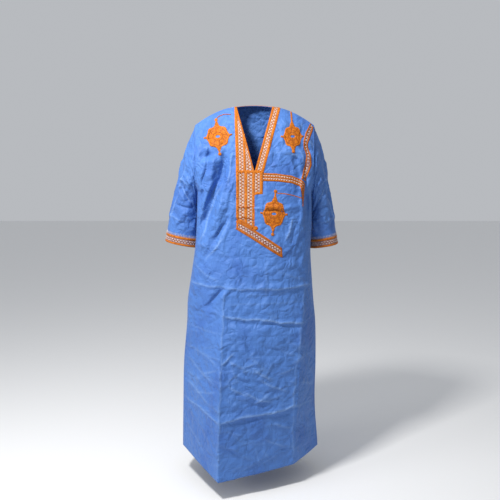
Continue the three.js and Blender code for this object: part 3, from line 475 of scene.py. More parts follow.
def facets(x, z, count, seed):
    """Heights, -1 to 1, of flat triangles that meet in crisp edges; count of them go round a sleeve."""
    heights = np.random.default_rng(seed).uniform(-1, 1, (count, FACET_ROWS))
    round_it = 2 * math.pi * x / SLEEVE_GIRTH
    v = z * count / SLEEVE_GIRTH + 0.45 * np.sin(3 * round_it + 2) + 0.25 * np.sin(7 * round_it)
    u = x * count / SLEEVE_GIRTH + 0.5 * v + 0.4 * np.sin(1.3 * v + 1) + 0.2 * np.sin(3.1 * v)
    column, row = np.floor(u).astype(int), np.floor(v).astype(int)
    a, b = u - column, v - row

    def corner(right, up):
        return heights[(column + right) % count, (row + up) % FACET_ROWS]

    here, beside, above, across = corner(0, 0), corner(1, 0), corner(0, 1), corner(1, 1)
    lower = here + a * (beside - here) + b * (above - here)
    upper = across + (1 - a) * (above - across) + (1 - b) * (beside - across)
    return np.where(a + b < 1, lower, upper)


def crumpled(x, z):
    """Height of the facets that are all over the stiff cloth."""
    x, z = np.broadcast_arrays(np.asarray(x, float), np.asarray(z, float))
    return sum(high * facets(x, z, count, seed) for high, count, seed in FACETS)


FOLD_REACH = 6  # in widths: past it a fold is flat
# painted highlight along the raised edges of sharp creases: how pale it makes an edge, and the palest it gets
CREASE_HIGHLIGHT_SHARE = 0.06  # how pale a crease's edge is, for each mm that it stands out
CREASE_HIGHLIGHT_MOST = 0.6


def fine_relief(table, x, z, painted_highlight=False):
    """Height outwards of the finer folds at (x, z), or how pale a painted highlight makes their raised edges
    there.
    """
    height = np.zeros(np.broadcast(x, z).shape)
    box = np.min(x), np.max(x), np.min(z), np.max(z)
    for x1, z1, x2, z2, width, high, sharp in table:
        length = math.hypot(x2 - x1, z2 - z1)
        reach = FOLD_REACH * width + 0.2 * length
        if max(x1, x2) + reach < box[0] or min(x1, x2) - reach > box[1]:
            continue
        if max(z1, z2) + reach < box[2] or min(z1, z2) - reach > box[3]:
            continue
        ux, uz = (x2 - x1) / length, (z2 - z1) / length
        along = (x - x1) * ux + (z - z1) * uz
        across = ((x - x1) * uz - (z - z1) * ux) / width
        near = (np.abs(across) < FOLD_REACH) & (along > -0.2 * length) & (along < 1.2 * length)
        if not near.any():
            continue
        a = along[near]
        bend = 0.45 * np.sin(a / (5 * width) + x1) + 0.3 * np.sin(a / (2.2 * width) + z1)
        s = np.abs(across[near] + bend)
        ends = smoothstep(-0.15 * length, 0.2 * length, a)
        ends = ends * (1 - smoothstep(0.8 * length, 1.15 * length, a))
        # a painted highlight along the raised edge of each sharp crease, where light would catch it
        if painted_highlight:
            height[near] += sharp * max(0, high) * ridge(s * width, 0, 3) * ends * CREASE_HIGHLIGHT_SHARE
            continue
        profile = np.exp(-s) if sharp else np.exp(-(s**2))
        height[near] += high * profile * ends
    return np.minimum(height, CREASE_HIGHLIGHT_MOST) if painted_highlight else height + crumpled(x, z)


def seam_fade(x, z, front=True):
    """Finer folds fade out at the side seams, the armholes and the shoulder."""
    rise = rise_at(x, z, front)
    share = np.clip(np.abs(x) / half_width(x, z, rise), 0, 1)
    return fade_out(share, rise, *FINE_FOLDS_END)


# Places on the cloth. Each takes two lengths in mm and gives the point of the middle surface there.

def front_point(x, z):
    """A point of the front, no higher than the shoulder's edge."""
    z = np.minimum(z, shoulder_z(x))
    y = body_y(x, z) - fine_relief(FRONT_FINE, x, z) * seam_fade(x, z)
    return np.stack([x, y, z + hem_lift(z, x)], axis=-1)


def back_point(x, z):
    y = body_y(x, z, front=False) + fine_relief(BACK_FINE, x, z) * seam_fade(x, z, False)
    return np.stack([x, y, z + hem_lift(z, x, front=False)], axis=-1)


def back_neck_point(x, down):
    """A point of the back, down behind the neck edge or the shoulder by that length."""
    angles = np.radians(np.linspace(90, 40, 160))
    rise = np.sin(angles) ** (2 / BACK_ROUND)
    wide = np.broadcast_to(np.asarray(x, float)[..., None], (*np.shape(x), len(rise)))
    z = lerp(UNDERARM_Z, back_top(wide), rise)
    line = np.stack([wide, body_y(wide, z, front=False), z], axis=-1).reshape(-1, len(rise), 3)
    run = np.cumsum(np.linalg.norm(np.diff(line, axis=1), axis=2), axis=1)
    run = np.hstack([np.zeros((len(line), 1)), run])
    want = np.asarray(down, float).reshape(-1)
    found = [[np.interp(d, r, p[:, k]) for k in range(3)] for d, r, p in zip(want, run, line)]
    return np.array(found).reshape(*np.shape(x), 3)


def cuff_place(name):
    """The place function of a cuff band: mm round the sleeve and mm above the edge."""
    sleeve = SLEEVES[name]
    turns = np.linspace(0, 1, 721)
    loop = cuff_line(sleeve, turns, CUFF_BAND / 2)
    run = run_along(loop)

    def place(round_it, raised):
        turn = np.interp(np.mod(round_it, run[-1]), run, turns)
        return cuff_line(sleeve, turn.ravel(), np.ravel(raised)).reshape(*np.shape(round_it), 3)

    return place, run[-1]


SLOPE_STEP = 0.6  # how far to both sides of a place its slope is measured


def lay(place, a, b, lift, outwards=1):
    """Points at lift above the place's surface, along its normals, and the normals."""
    a, b = np.broadcast_arrays(np.asarray(a, float), np.asarray(b, float))
    point = place(a, b)
    across = place(a + SLOPE_STEP, b) - place(a - SLOPE_STEP, b)
    up = place(a, b + SLOPE_STEP) - place(a, b - SLOPE_STEP)
    normal = np.cross(across, up) * outwards
    length = np.linalg.norm(normal, axis=-1, keepdims=True)
    normal = normal / np.maximum(length, 1e-9)
    return point + normal * np.asarray(lift)[..., None], normal


# Meshes

def grid_normals(points, quads):
    """Unit normals of a sheet's points, from its faces of four corners."""
    across = points[quads[:, 2]] - points[quads[:, 0]]
    other = points[quads[:, 3]] - points[quads[:, 1]]
    face = np.cross(across, other)
    normals = np.zeros_like(points)
    for corner in range(4):
        np.add.at(normals, quads[:, corner], face)
    length = np.linalg.norm(normals, axis=1, keepdims=True)
    return normals / np.maximum(length, 1e-12)


def grid_quads(index, wrap=False):
    """Faces of a grid of point numbers, counter-clockwise where columns run right and rows up."""
    if wrap:
        index = np.column_stack([index, index[:, 0]])
    corners = (index[:-1, :-1], index[:-1, 1:], index[1:, 1:], index[1:, :-1])
    return np.stack([c.ravel() for c in corners], axis=1)


def make_object(name, points, faces, uv, material, shade=None):
    """An object of points in mm, with a UV map in metres and, where given, a value of painted light for each
    point.
    """
    mesh = bpy.data.meshes.new(name)
    mesh.from_pydata((points * MM).tolist(), [], faces)
    mesh.update()
    layer = mesh.uv_layers.new(name="UVMap")
    corners = np.empty(len(mesh.loops), int)
    mesh.loops.foreach_get("vertex_index", corners)
    layer.data.foreach_set("uv", (uv * MM)[corners].ravel())
    if shade is not None:
        attribute = mesh.attributes.new("shade", "FLOAT", "POINT")
        attribute.data.foreach_set("value", shade.astype(np.float32))
    mesh.shade_smooth()
    mesh.materials.append(material)
    obj = bpy.data.objects.new(name, mesh)
    bpy.context.scene.collection.objects.link(obj)
    return obj


def shell_parts(points, normals, quads, inside, outside):
    """Points and faces of the closed wall between two distances from a sheet."""
    count = len(points)
    inside = np.broadcast_to(inside, count)[:, None]
    outside = np.broadcast_to(outside, count)[:, None]
    both = np.vstack([points + normals * outside, points + normals * inside])
    edges = np.vstack([quads[:, [i, (i + 1) % 4]] for i in range(4)])
    forward = edges[:, 0] * count + edges[:, 1]
    backward = edges[:, 1] * count + edges[:, 0]
    rim = edges[~np.isin(forward, backward)]
    rims = np.column_stack([rim[:, 1], rim[:, 0], rim[:, 0] + count, rim[:, 1] + count])
    return both, np.vstack([quads, quads[:, ::-1] + count, rims])


def make_shell(name, points, normals, quads, inside, outside, uv, material, painted_highlight):
    both, faces = shell_parts(points, normals, quads, inside, outside)
    # the painted crease highlight is stored as each point's shade
    return make_object(name, both, faces.tolist(), np.vstack([uv, uv]), material, np.tile(painted_highlight, 2))


class Heap:
    """Meshes gathered into one object."""

    def __init__(self):
        self.points, self.faces, self.uv, self.shade = [], [], [], []
        self.count = 0

    def add(self, points, faces, uv, shade=None):
        self.points.append(points)
        self.uv.append(uv)
        self.shade.append(np.zeros(len(points)) if shade is None else shade)
        self.faces += [[i + self.count for i in face] for face in faces]
        self.count += len(points)

    def make(self, name, material):
        points, uv, shade = np.vstack(self.points), np.vstack(self.uv), np.concatenate(self.shade)
        return make_object(name, points, self.faces, uv, material, shade)


def arc_lengths(grid):
    """Lengths along the rows and up the columns of a grid of points."""
    right = np.linalg.norm(np.diff(grid, axis=1), axis=2).mean(axis=0)
    up = np.linalg.norm(np.diff(grid, axis=0), axis=2).mean(axis=1)
    u = np.concatenate([[0], np.cumsum(right)])
    v = np.concatenate([[0], np.cumsum(up)])
    return np.stack(np.meshgrid(u, v), axis=-1)


def evenly(line, step, smooth=False):
    """A line of points at even steps, its corners rounded where smooth."""
    line = np.asarray(line, float)
    length = run_along(line)[-1]
    count = max(2, int(round(length / step)) + 1)
    points = points_at(line, np.linspace(0, length, count))
    if smooth:
        for _ in range(4):
            points[1:-1] = (points[:-2] + 2 * points[1:-1] + points[2:]) / 4
    return points


def across_line(points):
    """Unit vectors to the right of a line of places, and ahead along it."""
    ahead = np.gradient(points, axis=0)
    ahead = ahead / np.maximum(np.linalg.norm(ahead, axis=1, keepdims=True), 1e-9)
    return np.stack([ahead[:, 1], -ahead[:, 0]], axis=1), ahead


def add_cord(heap, place, line, width, low, high, closed=False, outwards=1, shade=0.0):
    """A half round band of satin stitch along a line on the cloth, from low to low + high above it."""
    right, _ = across_line(line)
    # its section: half a round on top, with a narrower underside a little into what it lies on
    angles = np.radians([180, 150, 115, 90, 65, 30, 0])
    side = np.concatenate([np.cos(angles), [0.6, -0.6]])
    lift = np.concatenate([low + high * np.sin(angles), [low - 0.25, low - 0.25]])
    flat = line[:, None, :] + right[:, None, :] * side[None, :, None] * (np.reshape(width, (-1, 1, 1)) / 2)
    lifts = np.broadcast_to(lift, flat.shape[:2])
    points, _ = lay(place, flat[..., 0], flat[..., 1], lifts, outwards)
    rows, columns = flat.shape[:2]
    index = np.arange(rows * columns).reshape(rows, columns)
    if closed:
        index = np.vstack([index, index[:1]])
    quads = grid_quads(index, wrap=True)
    quads = quads if outwards > 0 else quads[:, ::-1]
    faces = quads.tolist()
    if not closed:
        ends = [index[0].tolist()[::-1], index[-1].tolist()]
        faces += ends if outwards > 0 else [end[::-1] for end in ends]
    uv = line_of(run_along(line)[:, None], side * np.mean(width) / 2).reshape(-1, 2)
    heap.add(points.reshape(-1, 3), faces, uv, np.full(rows * columns, shade))


def layer_parts(points, normals, index, low, high):
    """Points and faces of a thin closed layer over a grid of points, which index numbers."""
    quads = grid_quads(index)
    flat, out = points.reshape(-1, 3), normals.reshape(-1, 3)
    facing = np.cross(flat[quads[:, 2]] - flat[quads[:, 0]], flat[quads[:, 3]] - flat[quads[:, 1]])
    if np.sum(facing * out[quads[:, 0]]) < 0:
        quads = quads[:, ::-1]
    return shell_parts(flat, out, quads, low, np.ravel(high))


def add_layer(heap, place, a, b, low, high, outwards=1, shade=None):
    """A thin closed layer over a grid of places, from low to high above the cloth."""
    points, normals = lay(place, a, b, 0, outwards)
    both, faces = layer_parts(points, normals, np.arange(a.size).reshape(a.shape), low, high)
    uv = line_of(a.ravel(), b.ravel())
    heap.add(both, faces.tolist(), np.vstack([uv, uv]), None if shade is None else np.tile(shade.ravel(), 2))


RAIL_STEP = 5.6  # how far apart a strip's stations are once they are spread along it


def strip(stations, shares):
    """The places at shares of a strip's width, as a grid of x and one of z.

    Stations of its two edges give the strip: x, z of one and x, z of the other.
    """
    x1, z1, x2, z2 = evenly(stations, RAIL_STEP).T[..., None]
    return lerp(x1, x2, shares), lerp(z1, z2, shares)


def strip_line(stations, share):
    """The line along a strip at a share of its width."""
    return np.hstack(strip(stations, share))


def strip_width(stations):
    rails = evenly(stations, RAIL_STEP)
    return np.hypot(rails[:, 2] - rails[:, 0], rails[:, 3] - rails[:, 1])


SHORTEST_STITCH = 0.3
STITCH_VARIES = (0.85, 1.15)  # how much thinner and wider than its thread a stitch may be


class Stitches:
    """Gathers stitches: each one's middle, the way it runs, the way out of the cloth, and its length."""

    def __init__(self):
        self.middle, self.along, self.out, self.length = [], [], [], []

    def add_line(self, place, ends, lift, outwards=1):
        """A thread that goes from end to end over the cloth, one stitch for each pair of ends."""
        points, normals = lay(place, *ends.T, lift, outwards)
        self.add_pairs(points[:-1], points[1:], normals[:-1])

    def add_pairs(self, start, end, out):
        self.middle.append((start + end) / 2)
        self.along.append(end - start)
        self.out.append(out)
        self.length.append(np.linalg.norm(end - start, axis=1))

    def add_over(self, place, middles, reach, lift, outwards=1):
        """A stitch over each of the places, from reach before it to reach after it."""
        start, normal = lay(place, *(middles - reach).T, lift, outwards)
        end, _ = lay(place, *(middles + reach).T, lift, outwards)
        self.add_pairs(start, end, normal)

    def add_zigzag(self, place, line, width, pitch, lift, outwards=1):
        """Stitches to and fro across a line of places, two to each pitch."""
        fine = evenly(line, pitch / 2)
        right, _ = across_line(fine)
        side = np.where(np.arange(len(fine)) % 2 == 0, 0.5, -0.5) * spread(width, len(fine))
        self.add_line(place, fine + right * side[:, None], lift, outwards)

    def add_running(self, place, line, length, gap, lift, outwards=1):
        """Stitches one after another along a line of places."""
        fine = evenly(line, length + gap)
        _, ahead = across_line(fine)
        self.add_over(place, fine, ahead * length / 2, lift, outwards)

    def make(self, name, thread, width, height):
        """One object of all the stitches, by the stitch tree."""
        middle, length = np.vstack(self.middle), np.concatenate(self.length)
        keep = length > SHORTEST_STITCH
        mesh = bpy.data.meshes.new(name)
        mesh.from_pydata((middle[keep] * MM).tolist(), [], [])
        for key, values in (("along", np.vstack(self.along)), ("out", np.vstack(self.out))):
            attribute = mesh.attributes.new(key, "FLOAT_VECTOR", "POINT")
            attribute.data.foreach_set("vector", values[keep].astype(np.float32).ravel())
        attribute = mesh.attributes.new("length", "FLOAT", "POINT")
        attribute.data.foreach_set("value", (length[keep] * MM).astype(np.float32))
        obj = bpy.data.objects.new(name, mesh)
        bpy.context.scene.collection.objects.link(obj)
        tree = stitch_tree()
        modifier = obj.modifiers.new("Stitches", "NODES")
        modifier.node_group = tree
        inputs = {item.name: item.identifier for item in tree.interface.items_tree if item.in_out == "INPUT"}
        modifier[inputs["Thread width"]] = width * MM
        modifier[inputs["Thread height"]] = height * MM
        modifier[inputs["Thread"]] = thread
        evaluated = obj.evaluated_get(bpy.context.evaluated_depsgraph_get())
        solid = bpy.data.meshes.new_from_object(evaluated)
        obj.modifiers.remove(modifier)
        obj.data = solid
        bpy.data.meshes.remove(mesh)
        solid.name = name
        return obj


def stitch_tree():
    """The node tree that lays a stitch on each point."""
    tree = bpy.data.node_groups.get("Stitches")
    if tree:
        return tree
    tree = bpy.data.node_groups.new("Stitches", "GeometryNodeTree")
    face = tree.interface
    face.new_socket("Geometry", in_out="INPUT", socket_type="NodeSocketGeometry")
    face.new_socket("Thread width", in_out="INPUT", socket_type="NodeSocketFloat").default_value = 0.001
    face.new_socket("Thread height", in_out="INPUT", socket_type="NodeSocketFloat").default_value = 0.0006
    face.new_socket("Thread", in_out="INPUT", socket_type="NodeSocketMaterial")
    face.new_socket("Seed", in_out="INPUT", socket_type="NodeSocketInt").default_value = 4
    face.new_socket("Geometry", in_out="OUTPUT", socket_type="NodeSocketGeometry")
    node, link = tree.nodes.new, tree.links.new
    start, end = node("NodeGroupInput"), node("NodeGroupOutput")

    def read(key, kind):
        made = node("GeometryNodeInputNamedAttribute")
        made.data_type = kind
        made.inputs["Name"].default_value = key
        return made.outputs["Attribute"]

    bead = node("GeometryNodeMeshUVSphere")
    bead.inputs["Segments"].default_value = 6
    bead.inputs["Rings"].default_value = 4
    bead.inputs["Radius"].default_value = 0.5
    turn = node("GeometryNodeTransform")
    turn.inputs["Rotation"].default_value = (0, math.pi / 2, 0)
    link(bead.outputs["Mesh"], turn.inputs["Geometry"])
    aim = node("FunctionNodeAlignRotationToVector")
    aim.axis = "X"
    link(read("along", "FLOAT_VECTOR"), aim.inputs["Vector"])
    lift = node("FunctionNodeAlignRotationToVector")
    lift.axis, lift.pivot_axis = "Z", "X"
    link(aim.outputs["Rotation"], lift.inputs["Rotation"])
    link(read("out", "FLOAT_VECTOR"), lift.inputs["Vector"])
    vary = node("FunctionNodeRandomValue")
    vary.data_type = "FLOAT"
    floats = [s for s in vary.inputs if s.type == "VALUE"]
    floats[0].default_value, floats[1].default_value = STITCH_VARIES
    link(start.outputs["Seed"], vary.inputs["Seed"])
    varied = node("ShaderNodeMath")
    varied.operation = "MULTIPLY"
    link(start.outputs["Thread width"], varied.inputs[0])
    link(next(s for s in vary.outputs if s.type == "VALUE"), varied.inputs[1])
    size = node("ShaderNodeCombineXYZ")
    link(read("length", "FLOAT"), size.inputs["X"])
    link(varied.outputs["Value"], size.inputs["Y"])
    link(start.outputs["Thread height"], size.inputs["Z"])
    place = node("GeometryNodeInstanceOnPoints")
    link(start.outputs["Geometry"], place.inputs["Points"])
    link(turn.outputs["Geometry"], place.inputs["Instance"])
    link(lift.outputs["Rotation"], place.inputs["Rotation"])
    link(size.outputs["Vector"], place.inputs["Scale"])
    real = node("GeometryNodeRealizeInstances")
    link(place.outputs["Instances"], real.inputs["Geometry"])
    paint = node("GeometryNodeSetMaterial")
    link(real.outputs["Geometry"], paint.inputs["Geometry"])
    link(start.outputs["Thread"], paint.inputs["Material"])
    link(paint.outputs["Geometry"], end.inputs["Geometry"])
    return tree


def body_rows(skirt_rows, chest_rows, power, shares_of, top_of):
    """x, z and rise of a panel's rows, bottom up.

    shares_of gives a row's shares of the half width from its z and rise, and top_of the upper edge's height.
    """
    heights = np.linspace(HEM_Z, UNDERARM_Z, skirt_rows + 1)
    rises = np.sin(np.radians(np.linspace(0, 90, chest_rows + 1)[1:])) ** (2 / power)
    xs, zs = [], []
    for z in heights:
        share = shares_of(z, 0.0)
        xs.append(share * skirt_half(share, z))
        zs.append(np.full(len(share), z))
    for rise in rises:
        x = shares_of(UNDERARM_Z, rise) * upper_half(rise)
        xs.append(x)
        zs.append(lerp(UNDERARM_Z, top_of(x), rise))
    return np.array(xs), np.array(zs), np.concatenate([np.zeros(len(heights)), rises])


INNER_SHARE = 0.58  # of a half's columns, those between the middle and its pressed crease


def half_shares(z, rise, side, count):
    """Shares of one half's columns from the middle, or the V's edge, out to the side seam."""
    crease = section("x2", z) / section("right", z) if side > 0 else section("x1", z) / section("left", z)
    box = 0 if rise > 0 else section("box", z)
    inner = int(count * INNER_SHARE)
    t = np.linspace(0, 1, inner + 1)[:-1]
    first = lerp(neck_share(rise), crease, t)
    t = np.linspace(0, 1, count - inner + 1)
    last = lerp(crease, 1, lerp(np.sin(np.pi / 2 * t), t, box))
    return side * np.concatenate([first, last])


def make_front():
    """Points, faces, flat lengths, level and painted crease highlight of the front's middle surface."""
    settings = bpy.context.scene.robe_cloth
    count = settings.front_columns // 2
    halves = [body_rows(settings.skirt_rows, settings.chest_rows, CHEST_ROUND,
                        lambda z, rise: half_shares(z, rise, side, count), shoulder_z) for side in (-1, 1)]
    (left_x, left_z, rises), (right_x, right_z, _) = halves
    x = np.hstack([left_x[:, ::-1], right_x])
    z = np.hstack([left_z[:, ::-1], right_z])
    grid = front_point(x, z)
    index = np.arange(x.size).reshape(x.shape)
    # below the V both halves share the middle column
    joined = neck_share(rises) <= 0
    index[joined, count + 1] = index[joined, count]
    halves_quads = [grid_quads(index[:, : count + 1]), grid_quads(index[:, count + 1 :])]
    uv = arc_lengths(grid).reshape(-1, 2)
    uv[:, 0] -= uv[:, 0].mean()
    used, numbers = np.unique(np.vstack(halves_quads), return_inverse=True)
    painted_highlight = fine_relief(FRONT_FINE, x, z, True).ravel()
    return grid.reshape(-1, 3)[used], numbers.reshape(-1, 4), uv[used], z.ravel()[used], painted_highlight[used]


def make_back():
    """Points, faces, flat lengths, level and painted crease highlight of the back's middle surface."""
    settings = bpy.context.scene.robe_cloth
    columns = settings.back_columns + 1
    share = np.sin(np.linspace(-np.pi / 2, np.pi / 2, columns))
    share = lerp(share, np.linspace(-1, 1, columns), 0.35)
    skirt_rows = settings.skirt_rows * 4 // 5
    x, z, _ = body_rows(skirt_rows, settings.chest_rows, BACK_ROUND, lambda *_: share, back_top)
    grid = back_point(x, z)
    index = np.arange(x.size).reshape(x.shape)
    uv = arc_lengths(grid).reshape(-1, 2)
    uv[:, 0] -= uv[:, 0].mean()
    painted_highlight = fine_relief(BACK_FINE, x, z, True).ravel()
    return grid.reshape(-1, 3), grid_quads(index)[:, ::-1], uv, z.ravel(), painted_highlight


def armhole_line(side, count):
    """Points round the armhole from the underarm, up its front and down its back, and each one's turn."""
    shares = np.linspace(0, 1, count // 2 + 1)

    def edge(front):
        """The armhole's front or back edge from the underarm up, at even steps."""
        power = CHEST_ROUND if front else BACK_ROUND
        rise = np.sin(np.radians(np.linspace(0, 90, 400))) ** (2 / power)
        x = side * upper_half(rise)
        line = line_of(x, side_y(rise, front), lerp(UNDERARM_Z, shoulder_z(x), rise))
        line = line if front else line[::-1]
        return points_at(line, shares * run_along(line)[-1])

    line = np.vstack([edge(True), edge(False)[1:-1]])
    turns = np.concatenate([shares / 2, 0.5 + shares[1:-1] / 2])
    return line, turns


def leave_vector(side, turns):
    """How the sleeve leaves the armhole at each turn."""
    high = (1 - np.cos(2 * np.pi * turns)) / 2
    low, top = (1 - high) ** 2, high**3
    ways = ((low, LEAVE_UNDERARM), (top, LEAVE_TOP), (1 - low - top, LEAVE_MIDDLE))
    out, back, down = (sum(share * way[k] for share, way in ways) for k in range(3))
    return np.stack([side * out, back, -down], axis=1)


def cuff_line(sleeve, turns, raised):
    """Points of the cuff's loop, raised above its edge along the sleeve."""
    side, inner, outer, inner_z, outer_z, front_y, back_y = sleeve
    angle = 2 * np.pi * turns
    out = np.sign(-np.cos(angle)) * np.abs(np.cos(angle)) ** (2 / SLEEVE_ROUND)
    ahead = np.sign(np.sin(angle)) * np.abs(np.sin(angle)) ** (2 / SLEEVE_ROUND)
    lean = CUFF_LEAN * raised * lerp(0.35, 1, (out + 1) / 2)
    x = side * ((inner + outer) / 2 + (outer - inner) / 2 * out - lean)
    y = (back_y + front_y) / 2 - (back_y - front_y) / 2 * ahead
    return np.stack([x, y, lerp(inner_z, outer_z, (out + 1) / 2) + raised], axis=1)


def make_sleeve(name):
    """Points, normals, faces and flat lengths of a sleeve; rows run down it and columns round it."""
    settings = bpy.context.scene.robe_cloth
    sleeve = SLEEVES[name]
    side = sleeve[0]
    start, turns = armhole_line(side, settings.sleeve_columns)
    steps = np.linspace(0, 1, settings.sleeve_rows + 1) ** 1.15  # closer together at the armhole
    end = cuff_line(sleeve, turns, CUFF_BAND)
    leave = leave_vector(side, turns)
    way = np.linalg.norm(start - end, axis=1, keepdims=True)
    arrive = (cuff_line(sleeve, turns, 0) - end) * way / CUFF_BAND
    rows = [start * (1 + 2 * t) * (1 - t) ** 2 + leave * t * (1 - t) ** 2
            + end * t * t * (3 - 2 * t) + arrive * t * t * (t - 1) for t in steps]
    band = np.linspace(CUFF_BAND, 0, settings.cuff_rows + 1)[1:]
    rows += [cuff_line(sleeve, turns, raised) for raised in band]
    grid = np.array(rows)
    index = np.arange(grid.shape[0] * grid.shape[1]).reshape(grid.shape[:2])
    quads = grid_quads(index, wrap=True)
    quads = quads[:, ::-1] if side > 0 else quads
    points = grid.reshape(-1, 3)
    normals = grid_normals(points, quads)
    down = np.concatenate([steps, np.ones(len(band))])
    keep = smoothstep(0, 0.07, down) * (1 - smoothstep(0.86, 1, down))
    turn_grid, down_grid = np.meshgrid(turns, down)
    flat = turn_grid * SLEEVE_GIRTH, down_grid * SLEEVE_LENGTH
    out = (fine_relief(SLEEVE_FINE, *flat) - fold_depth(SLEEVE_FOLDS, *flat)) * keep[:, None]
    points = points + normals * out.reshape(-1, 1)
    normals = grid_normals(points, quads)
    uv = arc_lengths(points.reshape(grid.shape)).reshape(-1, 2)
    # a painted highlight along the raised edges of the sleeve's creases
    painted_highlight = fine_relief(SLEEVE_FINE, *flat, True)
    return points, normals, quads, uv, (painted_highlight * keep[:, None]).ravel()


# Materials

THREAD_PITCH = 0.0011  # in metres, of the cotton's weave and of the embroidery
GROUND_PITCH = 0.0014
WAVES_PER_SCALE = 3.183  # crests in a metre of a wave texture, for each unit of its scale
NOISE_START = (3.7, 1.9, 5.3)  # away from the noise's own zero point


def new_material(name, color, roughness, sheen):
    """A material with its one shader, the shader and the node tree."""
    material = bpy.data.materials.new(name)
    material.use_nodes = True
    tree = material.node_tree
    shader = tree.nodes["Principled BSDF"]
    shader.inputs["Base Color"].default_value = (*color, 1)
    shader.inputs["Roughness"].default_value = roughness
    shader.inputs["Sheen Weight"].default_value = sheen
    shader.inputs["Sheen Roughness"].default_value = 0.4
    return material, shader, tree


def coordinates(tree):
    """Where a point is in the robe, and where it is on the piece's UV map."""
    where = tree.nodes.new("ShaderNodeTexCoord")
    return where.outputs["Object"], where.outputs["UV"]


def shade_of(tree):
    """The painted light stored at each point: painted shade on threads, a painted highlight along the cotton's
    crease edges.
    """
    shade = tree.nodes.new("ShaderNodeAttribute")
    shade.attribute_name = "shade"
    return shade.outputs["Fac"]


def add_noise(tree, coordinate, scale, detail=3, stretch=(1, 1, 1), kind="FBM"):
    mapping = tree.nodes.new("ShaderNodeMapping")
    mapping.inputs["Scale"].default_value = stretch
    mapping.inputs["Location"].default_value = NOISE_START
    tree.links.new(coordinate, mapping.inputs["Vector"])
    noise = tree.nodes.new("ShaderNodeTexNoise")
    noise.noise_type = kind
    noise.normalize = True
    noise.inputs["Scale"].default_value = scale
    noise.inputs["Detail"].default_value = detail
    tree.links.new(mapping.outputs["Vector"], noise.inputs["Vector"])
    return noise.outputs["Fac"]


def add_facets(tree, coordinate, scale):
    """Heights of small flat facets that meet in crisp edges, as stiff cloth crumples."""
    warp = add_noise(tree, coordinate, scale * 0.6, 2)
    shift = add_mix(tree, 0.06, coordinate, warp)
    cells = tree.nodes.new("ShaderNodeTexVoronoi")
    cells.feature = "DISTANCE_TO_EDGE"
    cells.inputs["Scale"].default_value = scale
    tree.links.new(shift, cells.inputs["Vector"])
    return cells.outputs["Distance"]


def add_ramp(tree, value, stops):
    ramp = tree.nodes.new("ShaderNodeValToRGB")
    while len(ramp.color_ramp.elements) < len(stops):
        ramp.color_ramp.elements.new(0.5)
    for element, (position, color) in zip(ramp.color_ramp.elements, stops):
        element.position = position
        element.color = (*color, 1)
    tree.links.new(value, ramp.inputs["Fac"])
    return ramp.outputs["Color"]


def add_mix(tree, share, a, b, mode="MIX"):
    mix = tree.nodes.new("ShaderNodeMix")
    mix.data_type = "RGBA"
    mix.blend_type = mode
    for value, socket in ((share, mix.inputs[0]), (a, mix.inputs[6]), (b, mix.inputs[7])):
        if isinstance(value, (int, float)):
            socket.default_value = value
        elif isinstance(value, tuple):
            socket.default_value = (*value, 1)
        else:
            tree.links.new(value, socket)
    return mix.outputs[2]


def add_bump(tree, height, strength, distance, before=None):
    bump = tree.nodes.new("ShaderNodeBump")
    bump.inputs["Strength"].default_value = strength
    bump.inputs["Distance"].default_value = distance
    tree.links.new(height, bump.inputs["Height"])
    if before is not None:
        tree.links.new(before, bump.inputs["Normal"])
    return bump.outputs["Normal"]


def add_threads(tree, uv, direction, pitch):
    """A wave across the UV map with one crest for each thread."""
    wave = tree.nodes.new("ShaderNodeTexWave")
    wave.bands_direction = direction
    wave.inputs["Scale"].default_value = 1 / pitch / WAVES_PER_SCALE
    wave.inputs["Distortion"].default_value = 0.6
    tree.links.new(uv, wave.inputs["Vector"])
    return wave.outputs["Fac"]


